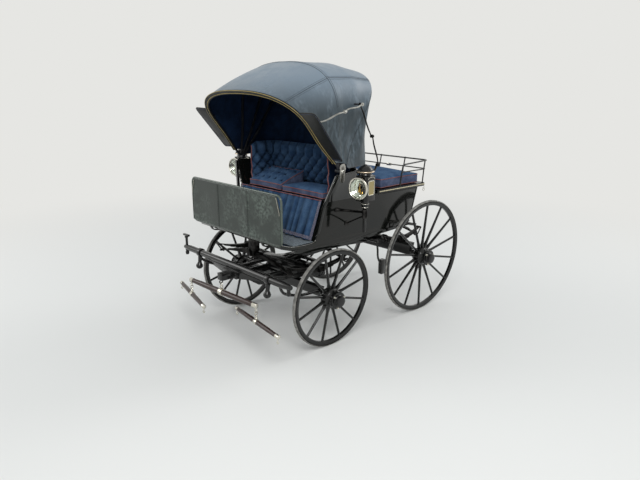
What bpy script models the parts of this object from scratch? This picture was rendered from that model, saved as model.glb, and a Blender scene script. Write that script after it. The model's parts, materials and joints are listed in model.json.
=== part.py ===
"""Mail phaeton: a four-wheeled horse carriage with a folding leather hood.

Metres. X is the width (+X is the carriage's left), the carriage faces -Y, and Z is up from the ground.
"""

import math

import bmesh
import bpy
from mathutils import Matrix, Vector

# Driving dimensions
FRONT_WHEEL_DIAMETER = 0.91
REAR_WHEEL_DIAMETER = 1.17
TRACK = 1.41
WHEELBASE = 1.283
CAMBER = math.radians(3.0)
FRONT_SPOKES = 12
REAR_SPOKES = 14
BODY_WIDTH = 1.24
FLOOR_HEIGHT = 0.97
FLOOR_DEPTH = 0.068
BODY_CLEARANCE = FLOOR_HEIGHT - FLOOR_DEPTH
SEAT_HEIGHT = 1.305
BODY_TAIL = 1.255
DECK_OVERHANG = 0.11
DASH_AHEAD = 0.54
DASH_WIDTH = BODY_WIDTH + 0.12
DASH_BOTTOM = FLOOR_HEIGHT + 0.05
DASH_TOP = DASH_BOTTOM + 0.416
ARM_HEIGHT = SEAT_HEIGHT + 0.24
ARM_SPREAD = BODY_WIDTH / 2 + 0.122
SEAT_BACK = 0.40
SQUAB_TOP = SEAT_HEIGHT + 0.43
HOOD_PIVOT_HEIGHT = SEAT_HEIGHT + 0.275
HOOD_PIVOT_BEHIND = 0.06
HOOD_HEAD_HALF_WIDTH = ARM_SPREAD - 0.007
HOOD_HALF_WIDTH = ARM_SPREAD - 0.052
LAMP_HALF_SPREAD = ARM_SPREAD + 0.153
LAMP_BEHIND = 0.19
LAMP_HEIGHT = SEAT_HEIGHT + 0.147
LAMP_FACE_RADIUS = 0.094
LAMP_YAW = {1: math.radians(8.0), -1: math.radians(4.0)}
SPLINTER_BAR_LENGTH = 1.66
MAIN_BAR_LENGTH = 0.98
MAIN_BAR_YAW = math.radians(3.5)
HOOK_INSET = 0.012
SWINGLETREE_LENGTH = 0.76
SWINGLETREE_RADIUS = 0.0185
SWINGLETREE_YAW = {1: math.radians(-8.2), -1: math.radians(-14.0)}
DRAUGHT_AHEAD = 0.70

# Each bow: lean from upright, length of its straight legs, height of its crown above them
BOWS = [(-39.0, 0.480, 0.357), (0.0, 0.440, 0.450), (20.0, 0.490, 0.455), (33.0, 0.610, 0.395)]

# Clearances
TOUCH = 0.0004
RUNNING = 0.001

# Where the driving dimensions put things
HOOK_REACH = MAIN_BAR_LENGTH / 2 - HOOK_INSET
DRAUGHT_REACH = DRAUGHT_AHEAD + max(
    SWINGLETREE_LENGTH / 2 * abs(math.sin(yaw)) + SWINGLETREE_RADIUS * math.cos(yaw)
    - side * HOOK_REACH * math.sin(MAIN_BAR_YAW) for side, yaw in SWINGLETREE_YAW.items())
FRONT_Y = -(WHEELBASE + REAR_WHEEL_DIAMETER / 2 - DRAUGHT_REACH) / 2
REAR_Y = FRONT_Y + WHEELBASE
HALF_BODY = BODY_WIDTH / 2
HALF_TRACK = TRACK / 2
TYRE_WIDTH = 0.030
TYRE_TREAD = 0.018
TYRE_DEPTH = 0.016
FACETS = 40


def axle_height(diameter):
    """Height of a cambered wheel's centre when its tread stands on the ground."""
    return diameter / 2 * math.cos(CAMBER) + TYRE_TREAD / 2 * math.sin(CAMBER)


FRONT_AXLE_Z = axle_height(FRONT_WHEEL_DIAMETER)
REAR_AXLE_Z = axle_height(REAR_WHEEL_DIAMETER)
PIVOT = Vector((0, FRONT_Y + HOOD_PIVOT_BEHIND, HOOD_PIVOT_HEIGHT))

X_AXIS = Vector((1, 0, 0))
Y_AXIS = Vector((0, 1, 0))
Z_AXIS = Vector((0, 0, 1))


# Materials

def finish(name, colour, roughness, metallic=0.0):
    """A Principled material of the given colour."""
    material = bpy.data.materials.new(name)
    material.use_nodes = True
    shader = material.node_tree.nodes["Principled BSDF"]
    shader.inputs["Base Color"].default_value = (*colour, 1.0)
    shader.inputs["Roughness"].default_value = roughness
    shader.inputs["Metallic"].default_value = metallic
    material.diffuse_color = (*colour, 1.0)
    return material


def clear_scene():
    for thing in list(bpy.data.objects):
        bpy.data.objects.remove(thing, do_unlink=True)


# Solids: each is a bmesh of one closed skin with its faces pointing out

def loft(rings, closed=False):
    """A skin through rings of equally many points. Open ends are capped unless the rings form a loop."""
    bm = bmesh.new()
    loops = [[bm.verts.new(point) for point in ring] for ring in rings]
    count = len(rings[0])
    pairs = list(zip(loops, loops[1:]))
    if closed:
        pairs.append((loops[-1], loops[0]))
    for near, far in pairs:
        for i in range(count):
            j = (i + 1) % count
            bm.faces.new((near[i], near[j], far[j], far[i]))
    if not closed:
        bm.faces.new(loops[0][::-1])
        bm.faces.new(loops[-1])
    bmesh.ops.recalc_face_normals(bm, faces=bm.faces)
    return bm


def block(low, high):
    """A box between two corners."""
    ring = [(low[0], low[1]), (high[0], low[1]), (high[0], high[1]), (low[0], high[1])]
    return loft([[Vector((x, y, z)) for x, y in ring] for z in (low[2], high[2])])


def slab(outline, low, high, axis="x"):
    """A flat outline of the other two coordinates, extruded along an axis from low to high."""
    place = {
        "x": lambda a, b, along: Vector((along, a, b)),
        "y": lambda a, b, along: Vector((a, along, b)),
        "z": lambda a, b, along: Vector((a, b, along)),
    }[axis]
    return loft([[place(a, b, along) for a, b in outline] for along in (low, high)])


def across(direction):
    """Two unit vectors square to a direction."""
    forward = Vector(direction).normalized()
    helper = Z_AXIS if abs(forward.z) < 0.9 else X_AXIS
    side = forward.cross(helper).normalized()
    return side, side.cross(forward)


def turned(profile, start, axis, segments=16, turn=0.0):
    """A shape of revolution: profile is (distance along the axis, radius) from end to end."""
    start = Vector(start)
    along = Vector(axis).normalized()
    side, up = across(along)
    rings = []
    for distance, radius in profile:
        ring = []
        for i in range(segments):
            angle = 2 * math.pi * (i + turn) / segments
            ring.append(start + along * distance + (side * math.cos(angle) + up * math.sin(angle)) * radius)
        rings.append(ring)
    return loft(rings)


def rod(start, end, radius, segments=8, end_radius=None):
    """A straight round bar between two points."""
    reach = Vector(end) - Vector(start)
    tip = radius if end_radius is None else end_radius
    return turned([(0, radius), (reach.length, tip)], start, reach, segments)


def directions(path):
    """The direction at each point of a path, halving the turn at its corners."""
    steps = [(b - a).normalized() for a, b in zip(path, path[1:])]
    joints = [(a + b).normalized() for a, b in zip(steps, steps[1:])]
    return [steps[0], *joints, steps[-1]]


def tube(path, radius, segments=8):
    """A round bar bent along a path. The radius may be a list, one for each point."""
    path = [Vector(point) for point in path]
    radii = radius if isinstance(radius, (list, tuple)) else [radius] * len(path)
    ways = directions(path)
    side, up = across(ways[0])
    rings = []
    for point, way, size in zip(path, ways, radii):
        side = (side - way * side.dot(way)).normalized()
        up = side.cross(way)
        turns = [2 * math.pi * (i + 0.5) / segments for i in range(segments)]
        rings.append([point + (side * math.cos(a) + up * math.sin(a)) * size for a in turns])
    return loft(rings)


def strip(path, width, depth, side=X_AXIS):
    """A flat bar bent along a path: width lies along side, depth is square to it. Either may be a list."""
    path = [Vector(point) for point in path]
    widths = width if isinstance(width, (list, tuple)) else [width] * len(path)
    depths = depth if isinstance(depth, (list, tuple)) else [depth] * len(path)
    rings = []
    for point, way, wide, deep in zip(path, directions(path), widths, depths):
        flat = (Vector(side) - way * way.dot(side)).normalized()
        thick = way.cross(flat)
        corners = [(-1, -1), (1, -1), (1, 1), (-1, 1)]
        rings.append([point + flat * a * wide / 2 + thick * b * deep / 2 for a, b in corners])
    return loft(rings)


def hoop(section, segments, centre=(0, 0, 0), axis=X_AXIS, turn=0.5):
    """A ring: section is (along the axis, radius) points, swept right round."""
    along = Vector(axis).normalized()
    side, up = across(along)
    rings = []
    for i in range(segments):
        angle = 2 * math.pi * (i + turn) / segments
        out = side * math.cos(angle) + up * math.sin(angle)
        rings.append([Vector(centre) + along * a + out * r for a, r in section])
    return loft(rings, closed=True)


def rounded(low, high, radius, steps=3):
    """A rectangle's outline with rounded corners, counter-clockwise."""
    (x0, y0), (x1, y1) = low, high
    centres = [(x1 - radius, y0 + radius, -90), (x1 - radius, y1 - radius, 0),
               (x0 + radius, y1 - radius, 90), (x0 + radius, y0 + radius, 180)]
    outline = []
    for cx, cy, first in centres:
        for i in range(steps + 1):
            angle = math.radians(first + 90 * i / steps)
            outline.append((cx + radius * math.cos(angle), cy + radius * math.sin(angle)))
    return outline


def curve(points, steps=4):
    """A smooth path through points, with this many steps between neighbours."""
    points = [Vector(point) for point in points]
    padded = [points[0] * 2 - points[1], *points, points[-1] * 2 - points[-2]]
    path = []
    for i in range(1, len(padded) - 2):
        a, b, c, d = padded[i - 1 : i + 3]
        for k in range(steps):
            t = k / steps
            path.append((b * 2 + (c - a) * t + (a * 2 - b * 5 + c * 4 - d) * t * t
                         + (b * 3 - a - c * 3 + d) * t ** 3) / 2)
    path.append(points[-1])
    return path


# Objects

def as_object(bm, name):
    mesh = bpy.data.meshes.new(name)
    bm.to_mesh(mesh)
    bm.free()
    thing = bpy.data.objects.new(name, mesh)
    bpy.context.scene.collection.objects.link(thing)
    return thing


def boolean(base, others, operation):
    """Join the other solids to the base, or cut them from it."""
    helpers = bpy.data.collections.new("helpers")
    bpy.context.scene.collection.children.link(helpers)
    for bm in others:
        helper = as_object(bm, "helper")
        bpy.context.scene.collection.objects.unlink(helper)
        helpers.objects.link(helper)
    change = base.modifiers.new(operation, "BOOLEAN")
    change.operation = operation
    change.operand_type = "COLLECTION"
    change.collection = helpers
    change.solver = "EXACT"
    seen = base.evaluated_get(bpy.context.evaluated_depsgraph_get())
    result = bpy.data.meshes.new_from_object(seen)
    base.modifiers.clear()
    for helper in list(helpers.objects):
        bpy.data.objects.remove(helper, do_unlink=True)
    bpy.data.collections.remove(helpers)
    base.data = result


def piece(name, solids, material, origin=(0, 0, 0), cuts=(), smooth_angle=35.0):
    """One sub-part: its solids joined, its holes cut, its origin placed."""
    if not isinstance(solids, (list, tuple)):
        solids = [solids]
    thing = as_object(solids[0], name)
    if len(solids) > 1:
        boolean(thing, solids[1:], "UNION")
    for cut in cuts:
        boolean(thing, [cut], "DIFFERENCE")
    bm = bmesh.new()
    bm.from_mesh(thing.data)
    bmesh.ops.remove_doubles(bm, verts=bm.verts, dist=2e-5)
    bmesh.ops.dissolve_degenerate(bm, edges=bm.edges, dist=2e-5)
    bmesh.ops.translate(bm, verts=bm.verts, vec=-Vector(origin))
    bm.to_mesh(thing.data)
    bm.free()
    thing.data.materials.clear()
    thing.data.materials.append(material)
    thing.data.shade_smooth()
    thing.data.set_sharp_from_angle(angle=math.radians(smooth_angle))
    thing.location = origin
    return thing


# Wheels

NAVE_INNER = -0.100
NAVE_RADIUS = 0.094
CAP_RADIUS = 0.055
AXLE_ARM_RADIUS = 0.022
RIM_DEPTH = 0.036
RIM_WIDTH = 0.034
SPOKE_FOOT = -0.026


def wheel_frame(side, diameter, y):
    """Places a wheel built about local X, outward positive, cambered at its axle end."""
    tilt = Matrix.Rotation(side * CAMBER, 4, "Y")
    facing = Matrix.Rotation(0.0 if side > 0 else math.pi, 4, "Z")
    return Matrix.Translation((side * HALF_TRACK, y, axle_height(diameter))) @ tilt @ facing


def make_wheel(name, side, diameter, spokes, y, materials):
    radius = diameter / 2
    channel = radius - TYRE_DEPTH - TOUCH
    rim_inner = channel - RIM_DEPTH
    half = RIM_WIDTH / 2
    rim = hoop([(-half, channel), (-half * 0.8, rim_inner), (half * 0.8, rim_inner), (half, channel)], FACETS)
    nave = turned(
        [(0, 0.060), (0.046, 0.076), (0.052, NAVE_RADIUS), (0.108, NAVE_RADIUS),
         (0.114, 0.080), (0.178, 0.062), (0.180, CAP_RADIUS), (0.218, CAP_RADIUS)],
        (NAVE_INNER, 0, 0), X_AXIS, 16)
    parts = [nave, rim]
    for i in range(spokes):
        angle = 2 * math.pi * (i + 0.5) / spokes
        out = Vector((0, math.cos(angle), math.sin(angle)))
        foot = out * (NAVE_RADIUS - 0.02) + X_AXIS * SPOKE_FOOT
        tip = out * (rim_inner + 0.012)
        parts.append(strip([foot, tip], [0.034, 0.022], [0.029, 0.021]))
    bore = turned([(-0.01, AXLE_ARM_RADIUS + 0.0025), (0.180, AXLE_ARM_RADIUS + 0.0025)],
                  (NAVE_INNER, 0, 0), X_AXIS, 12)
    frame = wheel_frame(side, diameter, y)
    wheel = piece(f"{name}_wheel", parts, materials["paint"], cuts=[bore])
    wheel.matrix_world = frame

    half = TYRE_WIDTH / 2
    flat = TYRE_TREAD / 2
    across_flats = radius / math.cos(math.pi / FACETS)
    seat = (channel + TOUCH) / math.cos(math.pi / FACETS)
    band = hoop([(-half, seat), (half, seat), (flat, across_flats), (-flat, across_flats)], FACETS)
    tyre = piece(f"{name}_tyre", band, materials["rubber"])
    tyre.matrix_world = frame


# Axles

AXLE_HALF = HALF_TRACK + NAVE_INNER - 0.010
BED_DEPTH = 0.062


def axle_solids(y, height, bed_rise):
    """The square iron axle with its two turned arms, and the wooden bed that it lies under."""
    beam = block((-AXLE_HALF, y - 0.024, height - 0.020), (AXLE_HALF, y + 0.024, height + 0.026))
    solids = [beam]
    for side in (1, -1):
        out = Vector((side * math.cos(CAMBER), 0, -math.sin(CAMBER)))
        centre = Vector((side * HALF_TRACK, y, height))
        collar = centre + out * (NAVE_INNER - 0.030)
        solids.append(turned([(0, 0.034), (0.028, 0.034), (0.0285, AXLE_ARM_RADIUS), (0.190, AXLE_ARM_RADIUS)],
                             collar, out, 16))
    bed = [(-AXLE_HALF + 0.05, height + 0.010), (AXLE_HALF - 0.05, height + 0.010),
           (AXLE_HALF - 0.03, height + bed_rise), (-AXLE_HALF + 0.03, height + bed_rise)]
    solids.append(slab(bed, y - BED_DEPTH / 2, y + BED_DEPTH / 2, "y"))
    return solids


# Fore carriage: it turns about the king pin

FRONT_BED_RISE = 0.065
RING_OUTER = 0.360
RING_INNER = 0.325
RING_THICKNESS = 0.015
KING_PIN_RADIUS = 0.016
FUTCHELL_SPREAD = 0.17
LOWER_RING_Z = FRONT_AXLE_Z + FRONT_BED_RISE + 0.058
UPPER_RING_Z = LOWER_RING_Z + RING_THICKNESS + RUNNING
SPLINTER_Y = FRONT_Y - 0.576
SPLINTER_Z = 0.722
SPLINTER_RADIUS = 0.031
CLAMP_RADIUS = 0.041
CLAMP_INSET = 0.29
BOLT_INSET = 0.03
GUSSET_HALF = 0.43
NOSE_HALF = 0.11
SOCKET_Y = FRONT_Y - DRAUGHT_AHEAD
LINK_TOP = 0.585
EYE_LIFT = 0.006


def make_fore_carriage(materials):
    paint = materials["paint"]
    piece("front_axle", axle_solids(FRONT_Y, FRONT_AXLE_Z, FRONT_BED_RISE), paint)

    base = FRONT_AXLE_Z + FRONT_BED_RISE + TOUCH
    bar_z = base + 0.0295
    nose_z = SPLINTER_Z - SPLINTER_RADIUS - 0.028
    solids = [hoop([(0, RING_INNER), (0, RING_OUTER), (RING_THICKNESS, RING_OUTER), (RING_THICKNESS, RING_INNER)],
                   32, (0, FRONT_Y, LOWER_RING_Z), Z_AXIS)]
    for side in (1, -1):
        path = [(side * FUTCHELL_SPREAD * 1.2, FRONT_Y + RING_OUTER - 0.01, bar_z),
                (side * FUTCHELL_SPREAD, FRONT_Y, bar_z),
                (side * FUTCHELL_SPREAD * 0.85, FRONT_Y - RING_INNER, bar_z),
                (side * FUTCHELL_SPREAD * 0.80, FRONT_Y - RING_OUTER - 0.03, bar_z + 0.006),
                (side * FUTCHELL_SPREAD * 0.62, FRONT_Y - RING_OUTER - 0.11, (bar_z + nose_z) / 2),
                (side * FUTCHELL_SPREAD * 0.5, SPLINTER_Y - 0.02, nose_z - 0.006)]
        solids.append(strip(path, 0.045, [0.050, 0.056, 0.056, 0.052, 0.046, 0.040]))
    solids.append(block((-FUTCHELL_SPREAD - 0.02, FRONT_Y - 0.06, base + 0.036),
                        (FUTCHELL_SPREAD + 0.02, FRONT_Y + 0.06, LOWER_RING_Z + RING_THICKNESS - 0.003)))
    solids.append(block((-FUTCHELL_SPREAD - 0.04, FRONT_Y + 0.28, base + 0.004),
                        (FUTCHELL_SPREAD + 0.04, FRONT_Y + 0.315, base + 0.05)))
    under_bar = SPLINTER_Z - SPLINTER_RADIUS - RUNNING
    solids.append(slab([(-NOSE_HALF, nose_z - 0.045), (NOSE_HALF, nose_z - 0.045),
                        (GUSSET_HALF, under_bar - 0.010), (GUSSET_HALF, under_bar),
                        (-GUSSET_HALF, under_bar), (-GUSSET_HALF, under_bar - 0.010)],
                       SPLINTER_Y - 0.014, SPLINTER_Y + 0.014, "y"))
    solids.append(block((-NOSE_HALF, SPLINTER_Y - 0.035, nose_z - 0.045),
                        (NOSE_HALF, SPLINTER_Y + 0.045, nose_z + 0.012)))
    solids.append(block((-0.036, SOCKET_Y - 0.012, nose_z - 0.055),
                        (0.036, SPLINTER_Y + 0.08, nose_z + 0.006)))
    solids.append(rod((0, SOCKET_Y, nose_z - 0.05), (0, SOCKET_Y, LINK_TOP + 0.019), 0.009))
    solids.append(ring_link((0, SOCKET_Y, LINK_TOP + EYE_LIFT), 0.016, 0.005, X_AXIS))
    hole = turned([(0, KING_PIN_RADIUS + RUNNING), (0.2, KING_PIN_RADIUS + RUNNING)],
                  (0, FRONT_Y, base - 0.05), Z_AXIS, 16)
    piece("futchells", solids, paint, cuts=[hole])

    half = SPLINTER_BAR_LENGTH / 2
    bar = tube([(-half, SPLINTER_Y, SPLINTER_Z), (-half + 0.10, SPLINTER_Y, SPLINTER_Z),
                (half - 0.10, SPLINTER_Y, SPLINTER_Z), (half, SPLINTER_Y, SPLINTER_Z)],
               [0.022, SPLINTER_RADIUS, SPLINTER_RADIUS, 0.022], 10)
    solids = [bar]
    clamp = half - CLAMP_INSET
    for side in (1, -1):
        x = side * clamp
        solids.append(turned([(0, CLAMP_RADIUS), (0.052, CLAMP_RADIUS)],
                             (x - 0.026, SPLINTER_Y, SPLINTER_Z), X_AXIS, 10))
        drop = [(x, SPLINTER_Y - back, SPLINTER_Z - down)
                for back, down in ((0.005, 0.02), (0.012, 0.09), (0.020, 0.125), (0.024, 0.150))]
        solids.append(tube(drop, [0.020, 0.018, 0.034, 0.022], 8))
        stay = curve([(side * (HALF_TRACK - 0.045), SPLINTER_Y + 0.01, SPLINTER_Z - 0.01),
                      (side * (HALF_TRACK - 0.085), SPLINTER_Y + 0.10, SPLINTER_Z - 0.13),
                      (side * (HALF_TRACK - 0.135), FRONT_Y - 0.25, FRONT_AXLE_Z + 0.055),
                      (side * (HALF_TRACK - 0.155), FRONT_Y - BED_DEPTH / 2 - 0.010, FRONT_AXLE_Z + 0.035)], 3)
        solids.append(tube(stay, 0.013, 6))
        solids.append(turned([(0, 0.016), (0.06, 0.020)],
                             (side * (half - BOLT_INSET), SPLINTER_Y, SPLINTER_Z - 0.075), Z_AXIS, 10))
    bolt = Vector((BOLT_INSET - half, SPLINTER_Y, SPLINTER_Z))
    solids.append(rod(bolt, bolt + Z_AXIS * 0.120, 0.013, 10))
    solids.append(block(bolt + Vector((-0.048, -0.014, 0.112)), bolt + Vector((0.048, 0.014, 0.134))))
    piece("splinter_bar", solids, paint)


# Draught bars

MAIN_BAR_Z = 0.494
TREE_DROP = 0.145


def bar_profile(length, middle, end):
    return [(0, end), (0.045, end), (0.0455, end * 0.86), (length / 2 - 0.024, middle * 0.94),
            (length / 2 - 0.0235, middle * 1.08), (length / 2 + 0.0235, middle * 1.08),
            (length / 2 + 0.024, middle * 0.94), (length - 0.0455, end * 0.86), (length - 0.045, end),
            (length, end)]


def ring_link(centre, radius, thickness, axis):
    """A small round link."""
    section = [(thickness * math.cos(a), radius + thickness * math.sin(a))
               for a in (math.pi / 4, 3 * math.pi / 4, 5 * math.pi / 4, 7 * math.pi / 4)]
    return hoop(section, 8, centre, axis)


def make_draught_bars(materials):
    iron = materials["nickel"]
    wood = materials["bar"]
    link_eye = ring_link((0, SOCKET_Y, LINK_TOP - 0.017), 0.017, 0.004, Y_AXIS)
    hang = rod((0, SOCKET_Y, LINK_TOP - 0.030), (0, SOCKET_Y, MAIN_BAR_Z + 0.034), 0.006)
    foot = turned([(0, 0.017), (0.008, 0.017)], (0, SOCKET_Y, MAIN_BAR_Z + 0.0305), Z_AXIS, 12)
    piece("main_bar_link", [link_eye, hang, foot], iron, origin=(0, SOCKET_Y, LINK_TOP))

    middle = Vector((0, SOCKET_Y, MAIN_BAR_Z))
    along_main = Vector((math.cos(MAIN_BAR_YAW), math.sin(MAIN_BAR_YAW), 0))
    solids = [turned(bar_profile(MAIN_BAR_LENGTH, 0.027, 0.021),
                     middle - along_main * MAIN_BAR_LENGTH / 2, along_main, 10)]
    for side in (1, -1):
        hook = middle + along_main * side * HOOK_REACH
        solids.append(rod(hook - Z_AXIS * 0.012, hook - Z_AXIS * (TREE_DROP - 0.028), 0.0055))
        solids.append(turned([(0, 0.013), (0.007, 0.013)], hook - Z_AXIS * (TREE_DROP - 0.0250), Z_AXIS, 10))
    piece("main_bar", solids, wood, origin=middle)

    half = SWINGLETREE_LENGTH / 2
    for side, word in ((1, "left"), (-1, "right")):
        centre = middle + along_main * side * HOOK_REACH - Z_AXIS * TREE_DROP
        along = Vector((math.cos(SWINGLETREE_YAW[side]), math.sin(SWINGLETREE_YAW[side]), 0))
        solids = [turned(bar_profile(SWINGLETREE_LENGTH, 0.0220, SWINGLETREE_RADIUS),
                         centre - along * half, along, 10)]
        for end in (1, -1):
            tip = centre + along * end * (half - 0.016)
            solids.append(rod(tip - Z_AXIS * 0.010, tip - Z_AXIS * 0.034, 0.006))
            solids.append(ring_link(tip - Z_AXIS * 0.046, 0.014, 0.004, along))
        piece(f"swingletree_{word}", solids, wood, origin=centre)


# Perch, transom and rear axle

TRANSOM_HALF = 0.565
TRANSOM_TOP = UPPER_RING_Z + RING_THICKNESS + 0.062
PERCH_RISE = 0.035
REAR_BED_RISE = 0.112


def make_undercarriage(materials):
    paint = materials["paint"]
    ring = hoop([(0, RING_INNER), (0, RING_OUTER), (RING_THICKNESS, RING_OUTER), (RING_THICKNESS, RING_INNER)],
                32, (0, FRONT_Y, UPPER_RING_Z), Z_AXIS)
    low = UPPER_RING_Z + RING_THICKNESS - 0.006
    beam = slab([(-TRANSOM_HALF, TRANSOM_TOP - 0.04), (-0.30, low), (0.30, low), (TRANSOM_HALF, TRANSOM_TOP - 0.04),
                 (TRANSOM_HALF, TRANSOM_TOP), (-TRANSOM_HALF, TRANSOM_TOP)], FRONT_Y - 0.042, FRONT_Y + 0.042, "y")
    ties = [block((-0.022 + x, FRONT_Y - RING_OUTER + 0.008, low + 0.003),
                  (0.022 + x, FRONT_Y + RING_OUTER - 0.008, low + 0.024)) for x in (-0.2, 0.2)]
    pin = turned([(0, KING_PIN_RADIUS), (0.085, KING_PIN_RADIUS), (0.0855, 0.03), (0.13, 0.03)],
                 (0, FRONT_Y, FRONT_AXLE_Z + FRONT_BED_RISE + 0.004), Z_AXIS, 16)
    piece("transom", [beam, ring, pin, *ties], paint)

    start = FRONT_Y + 0.042 + 0.004
    end = REAR_Y - BED_DEPTH / 2 - 0.004
    front_z = TRANSOM_TOP - 0.036
    rear_z = REAR_AXLE_Z + 0.055
    steps = 8
    path = []
    for i in range(steps + 1):
        t = i / steps
        rise = PERCH_RISE * math.sin(math.pi * min(1.0, t * 1.05))
        path.append((0, start + (end - start) * t, front_z + (rear_z - front_z) * t * t * (3 - 2 * t) + rise))
    piece("perch", strip(path, 0.055, 0.056), paint)
    piece("rear_axle", axle_solids(REAR_Y, REAR_AXLE_Z, REAR_BED_RISE), paint)


# Springs

def leaf_outline(half, rise, leaves, steps=6):
    """Side view of a leaf spring, ends up: the main leaf on top, shorter leaves under it, bedded flat at zero."""
    arch = rise - (leaves - 0.5) * LEAF

    def height(s):
        return arch * (s / half) ** 2

    top = [(s, leaves * LEAF + height(s)) for s in [half * (k / steps) for k in range(-steps, steps + 1)]]
    under = []
    for k in range(leaves):
        reach = half * (1 - k / (leaves + 0.3))
        level = (leaves - 1 - k) * LEAF + height(reach)
        under.append((reach, level + LEAF))
        under.append((reach, level))
    under[-1] = (under[-1][0], 0.0)
    return top + under[1:] + [(-s, z) for s, z in reversed(under[1:])]


FRONT_SPRING_X = 0.54
FRONT_SPRING_HALF = 0.375
REAR_SPRING_X = 0.42
REAR_SPRING_HALF = 0.275
LEAF = 0.009
SPRING_WIDTH = 0.042
SIDE_ARCH = 0.095
SHACKLE_DROP = 0.053
CROSS_ARCH = 0.095
EYE_RISE = 0.006


def side_spring(name, x, y, seat, half, leaves, material):
    """A lengthwise spring, clipped down to the beam at its middle and turned up at its ends."""
    stack = leaf_outline(half, SIDE_ARCH + EYE_RISE, leaves)
    base = seat + TOUCH
    outline = [(y + s, base + z) for s, z in stack]
    solids = [slab(outline, x - SPRING_WIDTH / 2, x + SPRING_WIDTH / 2)]
    top = base + leaves * LEAF
    solids.append(block((x - 0.030, y - 0.042, base + 0.004), (x + 0.030, y + 0.042, top + 0.014)))
    for end in (1, -1):
        eye = Vector((x, y + end * half, base + SIDE_ARCH + EYE_RISE))
        solids.append(rod(eye - X_AXIS * 0.025, eye + X_AXIS * 0.025, 0.012))
    piece(name, solids, material)


def cross_spring(name, y, eye_z, top, leaves, material, reach_x):
    """A crosswise spring, hung by a shackle at each end and blocked up to the body at its middle."""
    half = reach_x - 0.012
    crown = eye_z + CROSS_ARCH
    stack = leaf_outline(half, CROSS_ARCH + EYE_RISE, leaves)
    solids = [slab([(s, crown - z) for s, z in stack], y - SPRING_WIDTH / 2, y + SPRING_WIDTH / 2, "y")]
    solids.append(block((-0.055, y - 0.030, crown - leaves * LEAF - 0.014), (0.055, y + 0.030, top - TOUCH)))
    for end in (1, -1):
        eye = Vector((end * half, y, eye_z - EYE_RISE))
        solids.append(rod(eye - Y_AXIS * 0.027, eye + Y_AXIS * 0.027, 0.014))
    piece(name, solids, material)


def make_springs(materials):
    steel = materials["iron"]
    sets = [("front", FRONT_Y, TRANSOM_TOP, FRONT_SPRING_X, FRONT_SPRING_HALF, 5),
            ("rear", REAR_Y, REAR_AXLE_Z + REAR_BED_RISE, REAR_SPRING_X, REAR_SPRING_HALF, 5)]
    for place, y, seat, x, half, leaves in sets:
        for side, word in ((1, "left"), (-1, "right")):
            side_spring(f"{place}_side_spring_{word}", side * x, y, seat, half, leaves, steel)
        for way, word in ((-1, "fore"), (1, "aft")):
            eye_z = seat + SIDE_ARCH - SHACKLE_DROP
            at_y = y + way * (half - 0.045)
            under = min(body_underside(at_y - 0.03), body_underside(at_y + 0.03))
            cross_spring(f"{place}_cross_spring_{word}", at_y, eye_z, under, leaves, steel, x)


# Body

WALL = 0.020
HEEL_Y = FRONT_Y - 0.115
SEAT_FRONT_Y = FRONT_Y + 0.0
TAIL_Y = FRONT_Y + BODY_TAIL
DECK_TOP = SEAT_HEIGHT + 0.028


def body_bottom():
    """The underside of the body, from the toe of the footboard back to the tail."""
    low = BODY_CLEARANCE
    return [(FRONT_Y - 0.50, low + 0.078), (FRONT_Y - 0.345, low + 0.030), (FRONT_Y - 0.131, low + 0.005),
            (FRONT_Y + 0.233, low), (FRONT_Y + 0.748, low + 0.024), (TAIL_Y - 0.131, low + 0.042),
            (TAIL_Y - 0.085, low + 0.138)]


def body_underside(y):
    """Height of the underside at y; behind the tail it is that of the pump handles."""
    line = body_bottom()
    for (y0, z0), (y1, z1) in zip(line, line[1:-1]):
        if y0 <= y <= y1:
            return z0 + (z1 - z0) * (y - y0) / (y1 - y0)
    return PUMP_Z - 0.0135


PUMP_Z = BODY_CLEARANCE + 0.002
PUMP_X = 0.045
STEP_REACH = 0.062


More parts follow.
